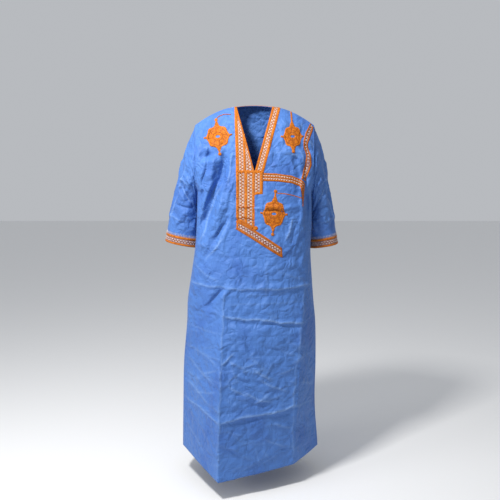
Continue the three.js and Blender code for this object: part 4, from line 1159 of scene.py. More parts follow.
def cotton_material():
    """Stiff polished cotton: a fine weave, slubs, crumples, and paler streaks and crease edges, which are
    painted highlights.
    """
    found = bpy.data.materials.get("polished_cotton")
    if found:
        return found
    dye = bpy.context.scene.robe_colours
    material, shader, tree = new_material("polished_cotton", dye.blue, 0.5, 0.04)
    shader.inputs["Specular IOR Level"].default_value = 0.36
    body, uv = coordinates(tree)
    deep = tuple(c * f for c, f in zip(dye.blue, (0.74, 0.78, 0.88)))
    pale = tuple(min(1, c * f + 0.025) for c, f in zip(dye.blue, (2.2, 1.75, 1.3)))
    clouds = [(0.3, deep), (0.5, tuple(dye.blue)), (0.66, tuple(dye.blue)), (1.0, pale)]
    cloudy = add_ramp(tree, add_noise(tree, body, 7, 4), clouds)
    creased = add_noise(tree, body, 30, 5, (1, 1, 0.8), "RIDGED_MULTIFRACTAL")
    # painted highlight: paler on the ridges of the crumple noise that also bumps the cloth, where light would
    # catch them
    painted_highlight = add_ramp(tree, creased, [(0.72, (0, 0, 0)), (1.0, (1, 1, 1))])
    painted_highlight_share = tree.nodes.new("ShaderNodeMath")
    painted_highlight_share.operation = "MULTIPLY"
    painted_highlight_share.inputs[1].default_value = 0.55
    tree.links.new(painted_highlight, painted_highlight_share.inputs[0])
    color = add_mix(tree, painted_highlight_share.outputs[0], cloudy, pale)
    # painted highlight along the crease edges, from the value stored at each point
    highlight_color = tuple(min(1, c * f + 0.1) for c, f in zip(dye.blue, (3.4, 2.2, 1.35)))
    color = add_mix(tree, shade_of(tree), color, highlight_color)
    for stretch in ((16, 460, 1), (460, 16, 1)):
        slubs = add_noise(tree, uv, 1, 2, stretch)
        slubs = add_ramp(tree, slubs, [(0.35, (0.90, 0.92, 0.95)), (0.65, (1, 1, 1))])
        color = add_mix(tree, 1.0, color, slubs, "MULTIPLY")
    tree.links.new(color, shader.inputs["Base Color"])
    rough = add_ramp(tree, creased, [(0.3, (0.62, 0.62, 0.62)), (0.9, (0.5, 0.5, 0.5))])
    tree.links.new(rough, shader.inputs["Roughness"])
    normal = add_bump(tree, add_noise(tree, body, 9, 2), 0.5, 0.014)
    normal = add_bump(tree, add_facets(tree, body, 16), 0.7, 0.014, normal)
    normal = add_bump(tree, add_facets(tree, body, 31), 0.8, 0.008, normal)
    normal = add_bump(tree, creased, 0.4, 0.004, normal)
    crackle = add_noise(tree, body, 95, 3, (1, 1, 1), "RIDGED_MULTIFRACTAL")
    normal = add_bump(tree, crackle, 0.5, 0.0016, normal)
    for direction in ("X", "Y"):
        normal = add_bump(tree, add_threads(tree, uv, direction, THREAD_PITCH), 0.12, 0.0002, normal)
    tree.links.new(normal, shader.inputs["Normal"])
    return material


# Threads: colour, and colour where they are shaded
THREADS = {
    "orange_thread": ((0.55, 0.155, 0.004), (0.22, 0.042, 0.003)),
    "rust_thread": ((0.36, 0.095, 0.015), (0.15, 0.03, 0.006)),
    "cream_thread": ((0.9, 0.78, 0.74), (0.6, 0.42, 0.42)),
    "seam_thread": ((0.09, 0.2, 0.5), (0.05, 0.11, 0.3)),
}
# Grounds: their speckles, from dark to pale
GROUNDS = {
    "amber_ground": ((0.2, 0.1, 0.1), (0.36, 0.12, 0.03), (0.46, 0.17, 0.04), (0.6, 0.33, 0.2)),
    "mauve_ground": ((0.08, 0.09, 0.24), (0.17, 0.075, 0.08), (0.25, 0.09, 0.05), (0.36, 0.2, 0.2)),
}


def thread_material(name):
    """Silk-like embroidery thread, laid across the map's length, with painted shade between the threads and
    where the stored shade is.
    """
    found = bpy.data.materials.get(name)
    if found:
        return found
    color, dark = THREADS[name]
    material, shader, tree = new_material(name, color, 0.55, 0.02)
    shader.inputs["Specular IOR Level"].default_value = 0.2
    body, uv = coordinates(tree)
    spots = add_noise(tree, body, 240, 2)
    pale = tuple(min(1, c * 1.2 + 0.004) for c in color)
    varied = add_ramp(tree, spots, [(0.3, dark), (0.5, color), (0.72, pale)])
    threads = add_threads(tree, uv, "X", THREAD_PITCH)
    # painted shade: darker in the grooves between the threads
    groove_shade = add_ramp(tree, threads, [(0.0, (0.62, 0.6, 0.58)), (0.5, (1, 1, 1))])
    varied = add_mix(tree, 0.8, varied, groove_shade, "MULTIPLY")
    shaded = add_mix(tree, shade_of(tree), varied, dark)
    tree.links.new(shaded, shader.inputs["Base Color"])
    normal = add_bump(tree, threads, 0.6, 0.0004)
    normal = add_bump(tree, spots, 0.3, 0.0006, normal)
    tree.links.new(normal, shader.inputs["Normal"])
    return material


def ground_material(name):
    """The close ground stitching between the borders, speckled in four colours."""
    found = bpy.data.materials.get(name)
    if found:
        return found
    colors = GROUNDS[name]
    material, shader, tree = new_material(name, colors[1], 0.6, 0.1)
    body, uv = coordinates(tree)
    grain = add_noise(tree, body, 330, 2)
    stops = list(zip((0.32, 0.46, 0.6, 0.74), colors))
    tree.links.new(add_ramp(tree, grain, stops), shader.inputs["Base Color"])
    normal = None
    for direction in ("X", "Y"):
        normal = add_bump(tree, add_threads(tree, uv, direction, GROUND_PITCH), 0.4, 0.0004, normal)
    tree.links.new(normal, shader.inputs["Normal"])
    return material


# Heights over the middle of the cloth, in mm
GROUND = (0.75, 1.35)  # the ground of a band, under and upper side
CORD_LOW, CORD_HIGH = 1.3, 1.25  # where a border cord starts, and how high it stands
POCKET_LIFT = (0.95, 1.85)
OVER_POCKET = 1.15  # how much higher what lies on the pocket is
ZIGZAG_LIFT = GROUND[1] + 0.25
MEDALLION_LOW = 0.8

# Stitches: width and height
CREAM_STITCH = (1.4, 1.1)
RUST_STITCH = (2.0, 1.0)
SEAM_STITCH = (0.9, 0.6)

# Distances from one zigzag to the next
ZIGZAG_PITCH = 12
TOP_BAND_PITCH = 10
NECK_BACK_PITCH = 9


def v_edge(z):
    """Half the width of the neck's V at height z."""
    rise = np.clip((z - UNDERARM_Z) / -UNDERARM_Z, 0, 1)
    return neck_share(rise) * upper_half(rise)


def neck_levels(count=70):
    """Heights from the bottom of the V to the shoulder, closer together at the top."""
    rise = np.sin(np.radians(np.linspace(V_ANGLE, 90, count))) ** (2 / CHEST_ROUND)
    return lerp(UNDERARM_Z, -0.4, rise)


def right_band_edge(z):
    return np.interp(z, (-252.8, -190, 0, 40), (-72, -73, -80, -84))


def left_band_edge(z):
    return np.interp(z, (-252.8, -8, 40), (35, 102, 106))


# Bands by the stations of their two edges: x, z of the upper or left edge and x, z of the other
PLACKET_BARS = ((-66.5, -253, -429), (-33.5, -253, -450), (-4.5, -253, -470), (25.5, -253, -334))
PLACKET_COLUMNS = ((-50, -258, -436), (-19, -258, -458), (10.5, -258, -332))
TOP_BAND = [
    (35, -257.5, 34, -288.5), (90, -260.5, 90, -290.5), (143, -268.5, 143, -297.5),
    (180, -283.5, 178, -311), (194, -298, 180.5, -322), (192, -330, 183, -342),
    (190.5, -352, 184.5, -362), (187.5, -386, 185.5, -387),
]
SHOULDER_BAND = [
    (232.5, -80, 222, -64), (229, -96, 213, -80), (217, -124, 201, -101), (206, -150, 191, -135),
    (209, -162, 192, -158), (218, -184, 201, -192), (221, -206, 199, -206), (222.5, -228, 194, -231),
    (211, -260, 187, -256), (198, -291, 181, -281),
]
DIAGONAL_BAND = [
    (-70, -436, -70, -472), (-20, -461, -20, -503), (46, -503, 46, -545.5), (103, -544, 106.5, -583),
]
PLACKET_BAND = [
    (-72, -254, 35, -254), (-71.5, -338, 31, -338), (-71.5, -341, 2, -341), (-71, -350, -4, -350),
    (-70, -434, -6, -472),
]
POCKET_RIGHT = 191.6
POCKET_ROWS = 70
POCKET_TOP = [
    (-6.3, -472), (-4.6, -352), (-2, -345.5), (4.4, -340.8), (31, -338.5), (33, -291), (90, -292),
    (143, -299), (178, -312.8), (185.4, -388), (POCKET_RIGHT, -400),
]
POCKET_BOTTOM = [(-6.3, -474), (103, -543.8), (107.5, -582.5), (POCKET_RIGHT, -500.5)]

# Medallions: x, z, width, height, turn, up, down, and how much higher they lie
MEDALLIONS = {
    "right_shoulder": (-143, -118, 90, 88, 7, 66, 68, 0),
    "left_shoulder": (148, -118, 72, 86, 2, 112, 58, 0),
    "pocket": (74, -414, 84, 104, -4, 86, 78, OVER_POCKET),
}
LOBES = 8
LOBE_DEPTH = 0.045
SLOT = (17, 9)
DISC_COLUMNS = 144
# The disc's rings of points, as shares of the way from the slot out to the edge
DISC_SHARES = (
    0, 0.04, 0.1, 0.16, 0.22, 0.26, 0.3, 0.38, 0.46, 0.54, 0.62, 0.68, 0.72, 0.76, 0.82, 0.88, 0.94, 0.98, 1,
)


DARK_GROUNDS = ("Shoulder_band", "Pocket_diagonal_band", "Cuff_band_right", "Cuff_band_left")


def ground_of(name, place, a, b, outwards=1):
    """The ground of a band over a grid of places."""
    heap = Heap()
    add_layer(heap, place, a, b, GROUND[0], np.full(a.shape, GROUND[1]), outwards)
    return heap.make(name, ground_material("mauve_ground" if name in DARK_GROUNDS else "amber_ground"))


def border_lines():
    """Every border cord on the front: its line, its width and its shade."""
    levels = neck_levels()
    # the border between the right band's two columns runs up to where the V cuts it
    inner = levels[-v_edge(levels) - right_band_edge(levels) > 36]
    cords = [
        (line_of(right_band_edge(levels) + 5.5, levels), 11, 0.0),
        (line_of(-v_edge(levels) - 3, levels), 6, 0.12),
        (line_of(right_band_edge(inner) + 34, inner), 8, 0.0),
        (line_of(v_edge(levels) + 4.5, levels), 9, 0.08),
        (line_of(left_band_edge(levels) - 5, levels), 10, 0.0),
        (evenly([(-72, -253), (35, -253)], 4), 12, 0.0),
    ]
    cords += [(evenly([(x, top), (x, bottom)], 4), 10, 0.0) for x, top, bottom in PLACKET_BARS]
    cords.append((evenly([(30, -334), (4, -335), (-4, -342)], 3, True), 9, 0.0))
    cords.append((evenly([(-69, -430), (-8, -467)], 4), 9, 0.12))
    for share, widest, shade in ((0.13, 7, 0.25), (0.5, 5, 0.35), (0.87, 7, 0.3)):
        cords.append((strip_line(TOP_BAND, share), np.clip(strip_width(TOP_BAND) * 0.25, 2, widest), shade))
    for share in (0.14, 0.86):
        cords.append((strip_line(SHOULDER_BAND, share), 6, 0.35))
        cords.append((strip_line(DIAGONAL_BAND, share), 10, 0.35))
    return cords + [
        (evenly([(101.5, -547), (104.5, -580)], 4), 7, 0.4),
        (evenly([(-66, -440), (-66, -468)], 4), 8, 0.1),
        # painted fold shadows: dark cords across the placket where pressed creases shade it
        (evenly([(-70, -384), (-50, -390), (-2, -386)], 3, True), 4, 0.85),
        (evenly([(-70, -432), (-40, -426), (-4, -436)], 3, True), 4, 0.7),
        # the chains that run to the medallions' knobs
        (evenly([(86, -335), (120, -338), (150, -345), (186, -356)], 3, True), 4.2, 0.4),
        (evenly([(-152, -50), (-140, -38), (-118, -30), (-92, -32)], 3, True), 3, 0.55),
    ]


def zigzag_lines():
    """Every column of zigzags on the front: its line, its width and its pitch."""
    levels = neck_levels()
    room = -v_edge(levels) - 6 - (right_band_edge(levels) + 11)
    near = levels[room > 6]
    first = np.clip(room[room > 6], 5, 19)
    far = levels[room > 32]
    second = np.clip(room[room > 32] - 27, 4, 22)
    middle = (v_edge(levels) + 9 + left_band_edge(levels) - 10) / 2
    left = np.clip(left_band_edge(levels) - 10 - v_edge(levels) - 9, 5, 16)
    columns = [
        (line_of(right_band_edge(near) + 11.5 + first / 2, near), first, ZIGZAG_PITCH),
        (line_of(right_band_edge(far) + 38.5 + second / 2, far), second, ZIGZAG_PITCH),
        (line_of(middle, levels), left, ZIGZAG_PITCH),
    ]
    for x, top, bottom in PLACKET_COLUMNS:
        columns.append((np.array([(x, top - 2), (x, bottom)], float), 21, ZIGZAG_PITCH))
    for share in (0.31, 0.69):
        width = np.clip(strip_width(TOP_BAND) * 0.18, 1.2, 6)
        columns.append((strip_line(TOP_BAND, share), width, TOP_BAND_PITCH))
    columns.append((strip_line(SHOULDER_BAND, 0.5)[1:-2], 10, ZIGZAG_PITCH))
    columns.append((strip_line(DIAGONAL_BAND, 0.5)[1:-3], 17, ZIGZAG_PITCH))
    return columns


def add_zigzags(cream, rust, place, line, width, pitch, lift, outwards=1):
    """A net of cream zigzags with satin diamonds, cream and rust by turns; two nets where it is wide."""
    middle = evenly(line, pitch / 2)
    right, ahead = across_line(middle)
    wide = spread(width, len(middle))
    nets = (-0.26, 0.26) if np.max(wide) > 13 else (0,)
    for turn, side in enumerate(nets):
        share = 0.44 if side else 0.9
        half = middle + right * (wide * side)[:, None]
        cream.add_zigzag(place, half, wide * share, pitch, lift, outwards)
        for first, threads in ((turn, cream), (1 - turn, rust)):
            knots = slice(first, None, 2)
            for step in (-1.5, -0.5, 0.5, 1.5):
                reach = right[knots] * (wide[knots] * share * 0.5 * (1.1 - 0.5 * abs(step)))[:, None]
                at = half[knots] + ahead[knots] * step * pitch * 0.13
                threads.add_over(place, at, reach, lift, outwards)


def make_medallion(name):
    """A lobed disc of laid thread round a slot, with a stem, two side points and a knob at each end."""
    x, z, width, height, turn, up, down, lift = MEDALLIONS[name]
    cos, sin = math.cos(math.radians(turn)), math.sin(math.radians(turn))

    def turned(a, b):
        return x + a * cos - b * sin, z + a * sin + b * cos

    heap = Heap()
    low = MEDALLION_LOW + lift
    # the disc, from the slot out to the lobed edge
    angle, share = np.meshgrid(np.linspace(0, 2 * np.pi, DISC_COLUMNS + 1), DISC_SHARES)
    reach = 1 + LOBE_DEPTH * np.cos(LOBES * angle)
    disc_a = lerp(SLOT[0] / 2 * np.cos(angle), width / 2 * reach * np.cos(angle), share)
    disc_b = lerp(SLOT[1] / 2 * np.sin(angle), height / 2 * reach * np.sin(angle), share)
    rings = ridge(share, 0.88, 0.075) + ridge(share, 0.12, 0.08)
    petal = np.abs(np.cos(LOBES * angle / 2 + 0.6 * share * 3)) ** 0.5
    between = smoothstep(0.24, 0.34, share) * (1 - smoothstep(0.68, 0.78, share))
    rims_down = np.minimum(1 - smoothstep(0.93, 1.0, share), smoothstep(0, 0.06, share))
    high = low + (0.55 + 0.9 * rings + between * 0.8 * petal) * rims_down + 0.25
    # painted shade: darker between the petals, in the troughs beside the rings and at the sinking rim, where
    # the disc lies lower
    groove = between * (1 - petal) ** 1.2 + ridge(share, 0.27, 0.035) * 0.8
    groove = np.clip(groove + ridge(share, 0.76, 0.03) * 0.8 + smoothstep(0.95, 1, share) * 0.5, 0, 1)
    points, normals = lay(front_point, *turned(disc_a, disc_b), 0)
    index = np.arange(angle.size).reshape(angle.shape)
    index[:, -1] = index[:, 0]
    both, faces = layer_parts(points, normals, index, low - 0.1, high)
    uv = line_of(angle.ravel() * 20, share.ravel() * width / 2)
    both_uv, both_shade = np.vstack([uv, uv]), np.tile(groove.ravel(), 2)
    used, numbers = np.unique(faces, return_inverse=True)
    heap.add(both[used], numbers.reshape(faces.shape).tolist(), both_uv[used], both_shade[used])

    def cord(ends, widths, high, shade=0.0):
        line = evenly([turned(*end) for end in ends], 2.5)
        add_cord(heap, front_point, line, spread(widths, len(line)), low + 0.2, high, shade=shade)

    cord([(0, height / 2 - 3), (0, height / 2 + 16)], (22, 7), 1.5, 0.1)
    cord([(0, height / 2 + 8), (0, up - (0 if name == "left_shoulder" else 5))], (7, 6.5), 1.4)
    cord([(0, -height / 2 + 3), (0, -height / 2 - 15)], (20, 6), 1.5, 0.1)
    cord([(0, -height / 2 - 8), (0, 5 - down)], (6, 5), 1.4)
    for side in (-1, 1):
        cord([(side * (width / 2 - 6), 0), (side * (width / 2 + 7), 0)], (14, 4), 1.5, 0.15)
    knobs = [(0, -down, 6.5, 6.5), (-width / 2 - 7, 1, 4.5, 4)]
    if name != "left_shoulder":
        knobs += [(0, up, 6.8, 6.8), (width / 2 + 7, 1, 4.5, 4)]
    for ka, kb, rx, rz in knobs:
        add_knob(heap, *turned(ka, kb), rx, rz, low, 2.4)
    return heap.make(f"Medallion_{name}", thread_material("orange_thread"))


def add_knob(heap, x, z, rx, rz, low, high):
    """A small raised round of thread."""
    angle, share = np.meshgrid(np.linspace(0, 2 * np.pi, 25), np.linspace(0.02, 1, 7))
    a, b = x + rx * share * np.cos(angle), z + rz * share * np.sin(angle)
    tops = low + 0.2 + high * np.sqrt(np.maximum(0, 1 - share**2))
    add_layer(heap, front_point, a, b, low - 0.1, tops, shade=0.5 * smoothstep(0.7, 1, share))


def pocket_grid():
    """A grid of places over the pocket, with a column at each of its corners."""
    top_x, top_z = np.transpose(POCKET_TOP)
    bottom_x, bottom_z = np.transpose(POCKET_BOTTOM)
    x = np.unique(np.concatenate([np.arange(-6, 191, 3.5), top_x, bottom_x]))
    t = np.linspace(0, 1, POCKET_ROWS + 1)[:, None]
    z = lerp(np.interp(x, bottom_x, bottom_z), np.interp(x, top_x, top_z), t)
    return np.broadcast_to(x, z.shape).copy(), z


class RobeCloth(bpy.types.PropertyGroup):
    """How finely the cloth is made"""

    front_columns: bpy.props.IntProperty(
        name="Front columns", description="Columns of faces across the front", default=140, min=40)
    back_columns: bpy.props.IntProperty(
        name="Back columns", description="Columns of faces across the back", default=110, min=30)
    skirt_rows: bpy.props.IntProperty(
        name="Skirt rows", description="Rows from the hem to the underarm", default=240, min=60)
    chest_rows: bpy.props.IntProperty(
        name="Chest rows", description="Rows from the underarm to the shoulder", default=72, min=20)
    sleeve_columns: bpy.props.IntProperty(
        name="Sleeve columns", description="Columns of faces round a sleeve", default=120, min=24)
    sleeve_rows: bpy.props.IntProperty(
        name="Sleeve rows", description="Rows down a sleeve, without its cuff band", default=110, min=20)
    cuff_rows: bpy.props.IntProperty(
        name="Cuff rows", description="Rows down a cuff band", default=10, min=2)
    cloth: bpy.props.FloatProperty(
        name="Cloth", description="Thickness of the cotton in millimetres", default=1.2, min=0.6, max=1.6)
    hem_turn: bpy.props.FloatProperty(
        name="Hem turn-up", description="Height of the turned-up hem in millimetres", default=23, min=0)


class RobeColours(bpy.types.PropertyGroup):
    """The robe's dyes"""

    blue: bpy.props.FloatVectorProperty(
        name="Blue", description="Colour of the cotton", subtype="COLOR", size=3, default=(0.066, 0.176, 0.485))


def finish_piece(obj, nodes):
    """Ties a finished piece to the frame and hides the nodes it stands for."""
    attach(obj, "root")
    if nodes:
        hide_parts(*nodes)


def finish_threads(names, cords, cream, rust):
    """Makes three pieces of the cords, the cream stitches and the rust stitches of one place."""
    pieces = (
        cords.make(names[0], thread_material("orange_thread")),
        cream.make(names[1], thread_material("cream_thread"), *CREAM_STITCH),
        rust.make(names[2], thread_material("rust_thread"), *RUST_STITCH),
    )
    for piece in pieces:
        finish_piece(piece, [])


# The turned-up hem: how much thicker the wall is inwards and outwards there, and how deep its stitches pull
HEM_IN, HEM_OUT = 0.7, 0.35
HEM_STITCH_DEPTH = 0.72
HEM_STITCH_REACH = 4


def panel_wall(level):
    """How far in and how far out a panel's wall reaches, thicker where the hem is turned up."""
    cloth = bpy.context.scene.robe_cloth
    half = cloth.cloth / 2
    turned = smoothstep(cloth.hem_turn + 3, cloth.hem_turn - 3, level - HEM_Z)
    return -half - turned * HEM_IN, half + turned * HEM_OUT


class ROBE_OT_front(bpy.types.Operator):
    """Build the front panel with its turned-up hem"""

    bl_idname = "robe.front"
    bl_label = "Front panel"

    def execute(self, context):
        points, quads, uv, level, painted_highlight = make_front()
        inside, outside = panel_wall(level)
        # pulled down along the hem's row of stitches
        stitched = ridge(level - HEM_Z, context.scene.robe_cloth.hem_turn, HEM_STITCH_REACH)
        outside = outside - stitched * HEM_STITCH_DEPTH
        obj = make_shell("Front", points, grid_normals(points, quads), quads, inside, outside,
                         uv, cotton_material(), painted_highlight)
        finish_piece(obj, ["front_panel"])
        return {"FINISHED"}


class ROBE_OT_back(bpy.types.Operator):
    """Build the back panel with its turned-up hem"""

    bl_idname = "robe.back"
    bl_label = "Back panel"

    def execute(self, context):
        points, quads, uv, level, painted_highlight = make_back()
        obj = make_shell("Back", points, grid_normals(points, quads), quads, *panel_wall(level),
                         uv, cotton_material(), painted_highlight)
        finish_piece(obj, ["back_panel"])
        return {"FINISHED"}


class ROBE_OT_sleeves(bpy.types.Operator):
    """Build both sleeves"""

    bl_idname = "robe.sleeves"
    bl_label = "Sleeves"

    def execute(self, context):
        half = context.scene.robe_cloth.cloth / 2
        for name in SLEEVES:
            points, normals, quads, uv, painted_highlight = make_sleeve(name)
            obj = make_shell(f"Sleeve_{name}", points, normals, quads, -half, half, uv, cotton_material(), painted_highlight)
            finish_piece(obj, [f"sleeve_{name}"])
        return {"FINISHED"}


class ROBE_OT_pocket(bpy.types.Operator):
    """Build the patch pocket on the front"""

    bl_idname = "robe.pocket"
    bl_label = "Pocket"

    def execute(self, context):
        x, z = pocket_grid()
        heap = Heap()
        edge = POCKET_RIGHT - x
        # thicker at its folded edge, and pressed down along the row of stitches beside it
        top = POCKET_LIFT[1] + ridge(edge, 0, 5) * 0.35 - ridge(edge, 8, 2) * 0.35
        # a painted highlight along the raised edges of the creases over the pocket
        painted_highlight = fine_relief(FRONT_FINE, x, z, True)
        add_layer(heap, front_point, x, z, POCKET_LIFT[0], top, shade=painted_highlight)
        obj = heap.make("Pocket", cotton_material())
        finish_piece(obj, ["pocket"])
        return {"FINISHED"}


class ROBE_OT_bands(bpy.types.Operator):
    """Build the grounds of the neck, placket, pocket and shoulder bands"""

    bl_idname = "robe.bands"
    bl_label = "Band grounds"

    def execute(self, context):
        levels = neck_levels()[:, None]
        t = np.linspace(0, 1, 13)
        grids = {
            "neck_band_right": (lerp(right_band_edge(levels), -v_edge(levels) - 0.3, t), levels + 0 * t),
            "neck_band_left": (lerp(v_edge(levels) + 0.3, left_band_edge(levels), t), levels + 0 * t),
        }
        for name, stations in (("placket_band", PLACKET_BAND), ("pocket_top_band", TOP_BAND),
                               ("shoulder_band", SHOULDER_BAND), ("pocket_diagonal_band", DIAGONAL_BAND)):
            grids[name] = strip(stations, np.linspace(0, 1, 11))
        for name, (a, b) in grids.items():
            obj = ground_of(name.capitalize(), front_point, a, b)
            finish_piece(obj, [name])
        return {"FINISHED"}


class ROBE_OT_borders(bpy.types.Operator):
    """Build the satin border cords and the zigzags of the front"""

    bl_idname = "robe.borders"
    bl_label = "Borders and zigzags"

    def execute(self, context):
        cords, cream, rust = Heap(), Stitches(), Stitches()
        for line, width, shade in border_lines():
            add_cord(cords, front_point, line, width, CORD_LOW, CORD_HIGH, shade=shade)
        add_knob(cords, 3, -468, 10, 8.5, 1.9, 2.2)  # the round at the foot of the placket
        for line, width, pitch in zigzag_lines():
            add_zigzags(cream, rust, front_point, line, width, pitch, ZIGZAG_LIFT)
        finish_threads(("Border_cords", "Zigzag_cream", "Zigzag_rust"), cords, cream, rust)
        return {"FINISHED"}


class ROBE_OT_neck_back(bpy.types.Operator):
    """Build the band behind the neck"""

    bl_idname = "robe.neck_back"
    bl_label = "Back neck band"

    def execute(self, context):
        turn = np.linspace(0, np.pi, 61)[:, None]
        out = np.linspace(0.4, 32, 11)

        def band(turn, out):
            """x and the length down the back, at a turn round the neck and a way out from its edge."""
            return -(NECK_HALF + out * np.abs(np.cos(turn)) ** 0.8) * np.cos(turn), out * np.sin(turn) ** 0.6

        a, b = band(turn, out)
        obj = ground_of("Neck_band_back", back_neck_point, a, b + 0.3)
        finish_piece(obj, ["neck_band_back"])
        cords, cream, rust = Heap(), Stitches(), Stitches()
        turns = np.linspace(0.03, np.pi - 0.03, 90)
        facing = facing_of(back_neck_point)
        for way, width in ((4.8, 9), (28, 8)):
            line = line_of(*band(turns, way)) + [0, 0.5]
            add_cord(cords, back_neck_point, line, width, CORD_LOW, CORD_HIGH, outwards=facing)
        line = line_of(*band(turns, 16.5)) + [0, 0.5]
        add_zigzags(cream, rust, back_neck_point, line, 12, NECK_BACK_PITCH, ZIGZAG_LIFT, facing)
        finish_threads([f"Neck_back_{kind}" for kind in ("cords", "cream", "rust")], cords, cream, rust)
        return {"FINISHED"}


CUFF_COLUMNS = 160
COMB_PITCH = 6.5


class ROBE_OT_cuffs(bpy.types.Operator):
    """Build the embroidered cuff bands"""

    bl_idname = "robe.cuffs"
    bl_label = "Cuff bands"

    def execute(self, context):
        for name in SLEEVES:
            place, girth = cuff_place(name)
            out = facing_of(place)
            along = np.linspace(0, girth, CUFF_COLUMNS + 1)
            ground = ground_of(f"Cuff_band_{name}", place, *np.meshgrid(along, np.linspace(0.5, 38.5, 9)), out)
            finish_piece(ground, [f"cuff_band_{name}"])
            cords, cream, rust = Heap(), Stitches(), Stitches()
            for raised in (4.4, 31):
                line = line_of(along[:-1], raised)
                add_cord(cords, place, line, 8, CORD_LOW, CORD_HIGH, closed=True, outwards=out)
            add_zigzags(cream, rust, place, line_of(along, 17.5), 15, ZIGZAG_PITCH, ZIGZAG_LIFT, out)
            # the comb of single stitches over the upper border
            comb = np.arange(0, girth - 2, COMB_PITCH)
            low, normal = lay(place, comb, 34, 1.6, out)
            high, _ = lay(place, comb, 48, 1.1, out)
            cream.add_pairs(low, high, normal)
            finish_threads([f"Cuff_{kind}_{name}" for kind in ("cords", "cream", "rust")], cords, cream, rust)
        return {"FINISHED"}


class ROBE_OT_medallions(bpy.types.Operator):
    """Build the three medallions"""

    bl_idname = "robe.medallions"
    bl_label = "Medallions"

    def execute(self, context):
        for name in MEDALLIONS:
            finish_piece(make_medallion(name), [f"medallion_{name}"])
        return {"FINISHED"}


def facing_of(place):
    """1 where the place's own normals point out of the robe, or -1 where they point in."""
    point, normal = lay(place, np.array([0.0, 5.0]), 10.0, 0)
    middle = np.array([0, 60, -60])
    if place is not back_neck_point:
        middle = place(np.linspace(0, 480, 60), np.full(60, 10.0)).mean(axis=0)
    return 1 if np.sum((point - middle) * normal) > 0 else -1


class ROBE_OT_seams(bpy.types.Operator):
    """Build the welts of the seams and the stitches of the hem and the seams"""

    bl_idname = "robe.seams"
    bl_label = "Seams and hem stitches"

    def execute(self, context):
        heap = Heap()
        for side in (-1, 1):
            hole, _ = armhole_line(side, 160)
            add_tube(heap, hole, 1.5, True)
            x = side * np.linspace(NECK_HALF, SHOULDER_HALF, 50)
            add_tube(heap, line_of(x, SHOULDER_Y, shoulder_z(x)), 1.3)
            z = np.linspace(HEM_Z, UNDERARM_Z, 160)
            lift = HEM_SIDE_LIFT * smoothstep(LAST_CREASE_Z, HEM_Z, z)
            add_tube(heap, line_of(side * skirt_half(side, z), SIDE_Y, z + lift), 1.2)
        finish_piece(heap.make("Seam_welts", cotton_material()), [])
        stitches = Stitches()
        z = HEM_Z + context.scene.robe_cloth.hem_turn
        share = np.linspace(-0.985, 0.985, 200)
        hem = line_of(share * skirt_half(share, z), z)
        stitches.add_running(front_point, hem, 3.2, 1.6, -0.1, 1)
        stitches.add_running(back_point, hem, 3.2, 1.6, 0.75, -1)
        pocket_edge = line_of(186, np.linspace(-404, -500, 20))
        stitches.add_running(front_point, pocket_edge, 3.0, 1.5, 1.75)
        # beside the placket and the pocket
        for line in ([(-78, -258), (-76, -340), (-75, -434)], [(196, -408), (196, -500)]):
            stitches.add_running(front_point, np.array(line, float), 3.0, 1.6, 0.7)
        obj = stitches.make("Hem_stitches", thread_material("seam_thread"), *SEAM_STITCH)
        finish_piece(obj, [])
        return {"FINISHED"}


TUBE_SIDES = 8


def add_tube(heap, line, radius, closed=False):
    """A round welt along a line of points."""
    ahead = np.gradient(line, axis=0)
    ahead /= np.linalg.norm(ahead, axis=1, keepdims=True)
    aside = np.cross(ahead, np.array([0.31, 0.2, 0.93]))  # no welt runs that way
    aside /= np.linalg.norm(aside, axis=1, keepdims=True)
    other = np.cross(ahead, aside)
    angles = np.linspace(0, 2 * np.pi, TUBE_SIDES + 1)[:-1]
    ring = aside[:, None] * np.cos(angles)[:, None] + other[:, None] * np.sin(angles)[:, None]
    points = (line[:, None] + ring * radius).reshape(-1, 3)
    index = np.arange(len(points)).reshape(len(line), TUBE_SIDES)
    rows = np.vstack([index, index[:1]]) if closed else index
    faces = grid_quads(rows, wrap=True).tolist()
    if not closed:
        faces += [index[0].tolist()[::-1], index[-1].tolist()]
    heap.add(points, faces, line_of(run_along(line)[:, None], angles * radius).reshape(-1, 2))


FLOOR_REACH, FLOOR_Z = 12, -1.5
SKY_COLOR, SKY_STRENGTH = (0.92, 0.95, 1, 1), 0.52
LENS = 53.57
CAMERA_PLACE = (-0.018, -3.0, -0.192)
CAMERA_TILT = 82.781  # degrees up from straight down
# Lights: name, place, aim, power, size, tint
LIGHTS = (
    ("Key", (-0.75, -1.1, 1.15), (0, 0, -0.3), 62, 0.3, (1, 0.99, 0.97)),
    ("Fill", (-2.6, -1.4, -0.3), (0, 0, -0.8), 22, 1.0, (0.95, 0.97, 1)),
)


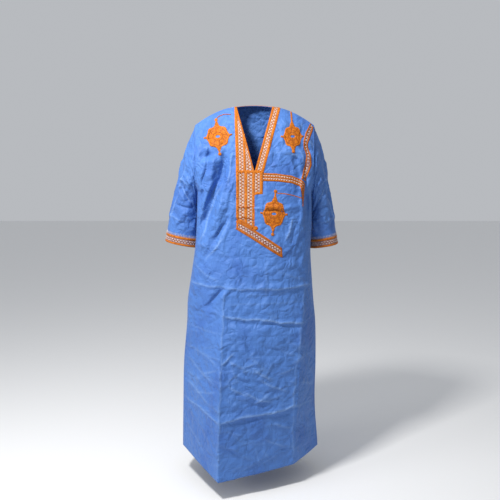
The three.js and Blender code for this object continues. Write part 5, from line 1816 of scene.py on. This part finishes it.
class ROBE_OT_stage(bpy.types.Operator):
    """Set up the floor, the lights and the camera"""

    bl_idname = "robe.stage"
    bl_label = "Stage"

    def execute(self, context):
        scene = context.scene
        mesh = bpy.data.meshes.new("Floor")
        corners = [(x * FLOOR_REACH, y * FLOOR_REACH, FLOOR_Z) for x, y in ((-1, -1), (1, -1), (1, 1), (-1, 1))]
        mesh.from_pydata(corners, [], [(0, 1, 2, 3)])
        floor = bpy.data.objects.new("Floor", mesh)
        scene.collection.objects.link(floor)
        pale, _, _ = new_material("floor_pale", (0.86, 0.86, 0.86), 0.9, 0)
        floor.data.materials.append(pale)
        scene.view_settings.view_transform = "Standard"
        world = bpy.data.worlds.new("World")
        scene.world = world
        world.use_nodes = True
        sky = world.node_tree.nodes["Background"]
        sky.inputs["Color"].default_value = SKY_COLOR
        sky.inputs["Strength"].default_value = SKY_STRENGTH
        for name, place, aim, power, size, tint in LIGHTS:
            light = bpy.data.lights.new(name, "AREA")
            light.energy = power
            light.size = size
            light.color = tint
            lamp = bpy.data.objects.new(name, light)
            lamp.location = place
            lamp.rotation_euler = (Vector(aim) - Vector(place)).to_track_quat("-Z", "Y").to_euler()
            scene.collection.objects.link(lamp)
        data = bpy.data.cameras.new("Camera")
        data.lens = LENS
        data.sensor_width = 36
        camera = bpy.data.objects.new("Camera", data)
        camera.location = CAMERA_PLACE
        camera.rotation_euler = (math.radians(CAMERA_TILT), 0, 0)
        scene.collection.objects.link(camera)
        scene.camera = camera
        return {"FINISHED"}


class ROBE_PT_panel(bpy.types.Panel):
    """The robe's steps in the sidebar"""

    bl_idname = "ROBE_PT_panel"
    bl_label = "Robe"
    bl_space_type = "VIEW_3D"
    bl_region_type = "UI"
    bl_category = "Robe"

    def draw(self, context):
        for step in STEPS:
            self.layout.operator(step.bl_idname)


STEPS = (
    ROBE_OT_front, ROBE_OT_back, ROBE_OT_sleeves, ROBE_OT_pocket, ROBE_OT_bands, ROBE_OT_borders,
    ROBE_OT_neck_back, ROBE_OT_cuffs, ROBE_OT_medallions, ROBE_OT_seams, ROBE_OT_stage,
)
CLASSES = (RobeCloth, RobeColours, *STEPS, ROBE_PT_panel)


def register():
    for item in CLASSES:
        bpy.utils.register_class(item)
    bpy.types.Scene.robe_cloth = bpy.props.PointerProperty(type=RobeCloth)
    bpy.types.Scene.robe_colours = bpy.props.PointerProperty(type=RobeColours)


def unregister():
    del bpy.types.Scene.robe_colours
    del bpy.types.Scene.robe_cloth
    for item in reversed(CLASSES):
        bpy.utils.unregister_class(item)


def main():
    register()
    bpy.ops.robe.front()
    bpy.ops.robe.back()
    bpy.ops.robe.sleeves()
    bpy.ops.robe.pocket()
    bpy.ops.robe.bands()
    bpy.ops.robe.borders()
    bpy.ops.robe.neck_back()
    bpy.ops.robe.cuffs()
    bpy.ops.robe.medallions()
    bpy.ops.robe.seams()
    bpy.ops.robe.stage()


if __name__ == "__main__":
    main()
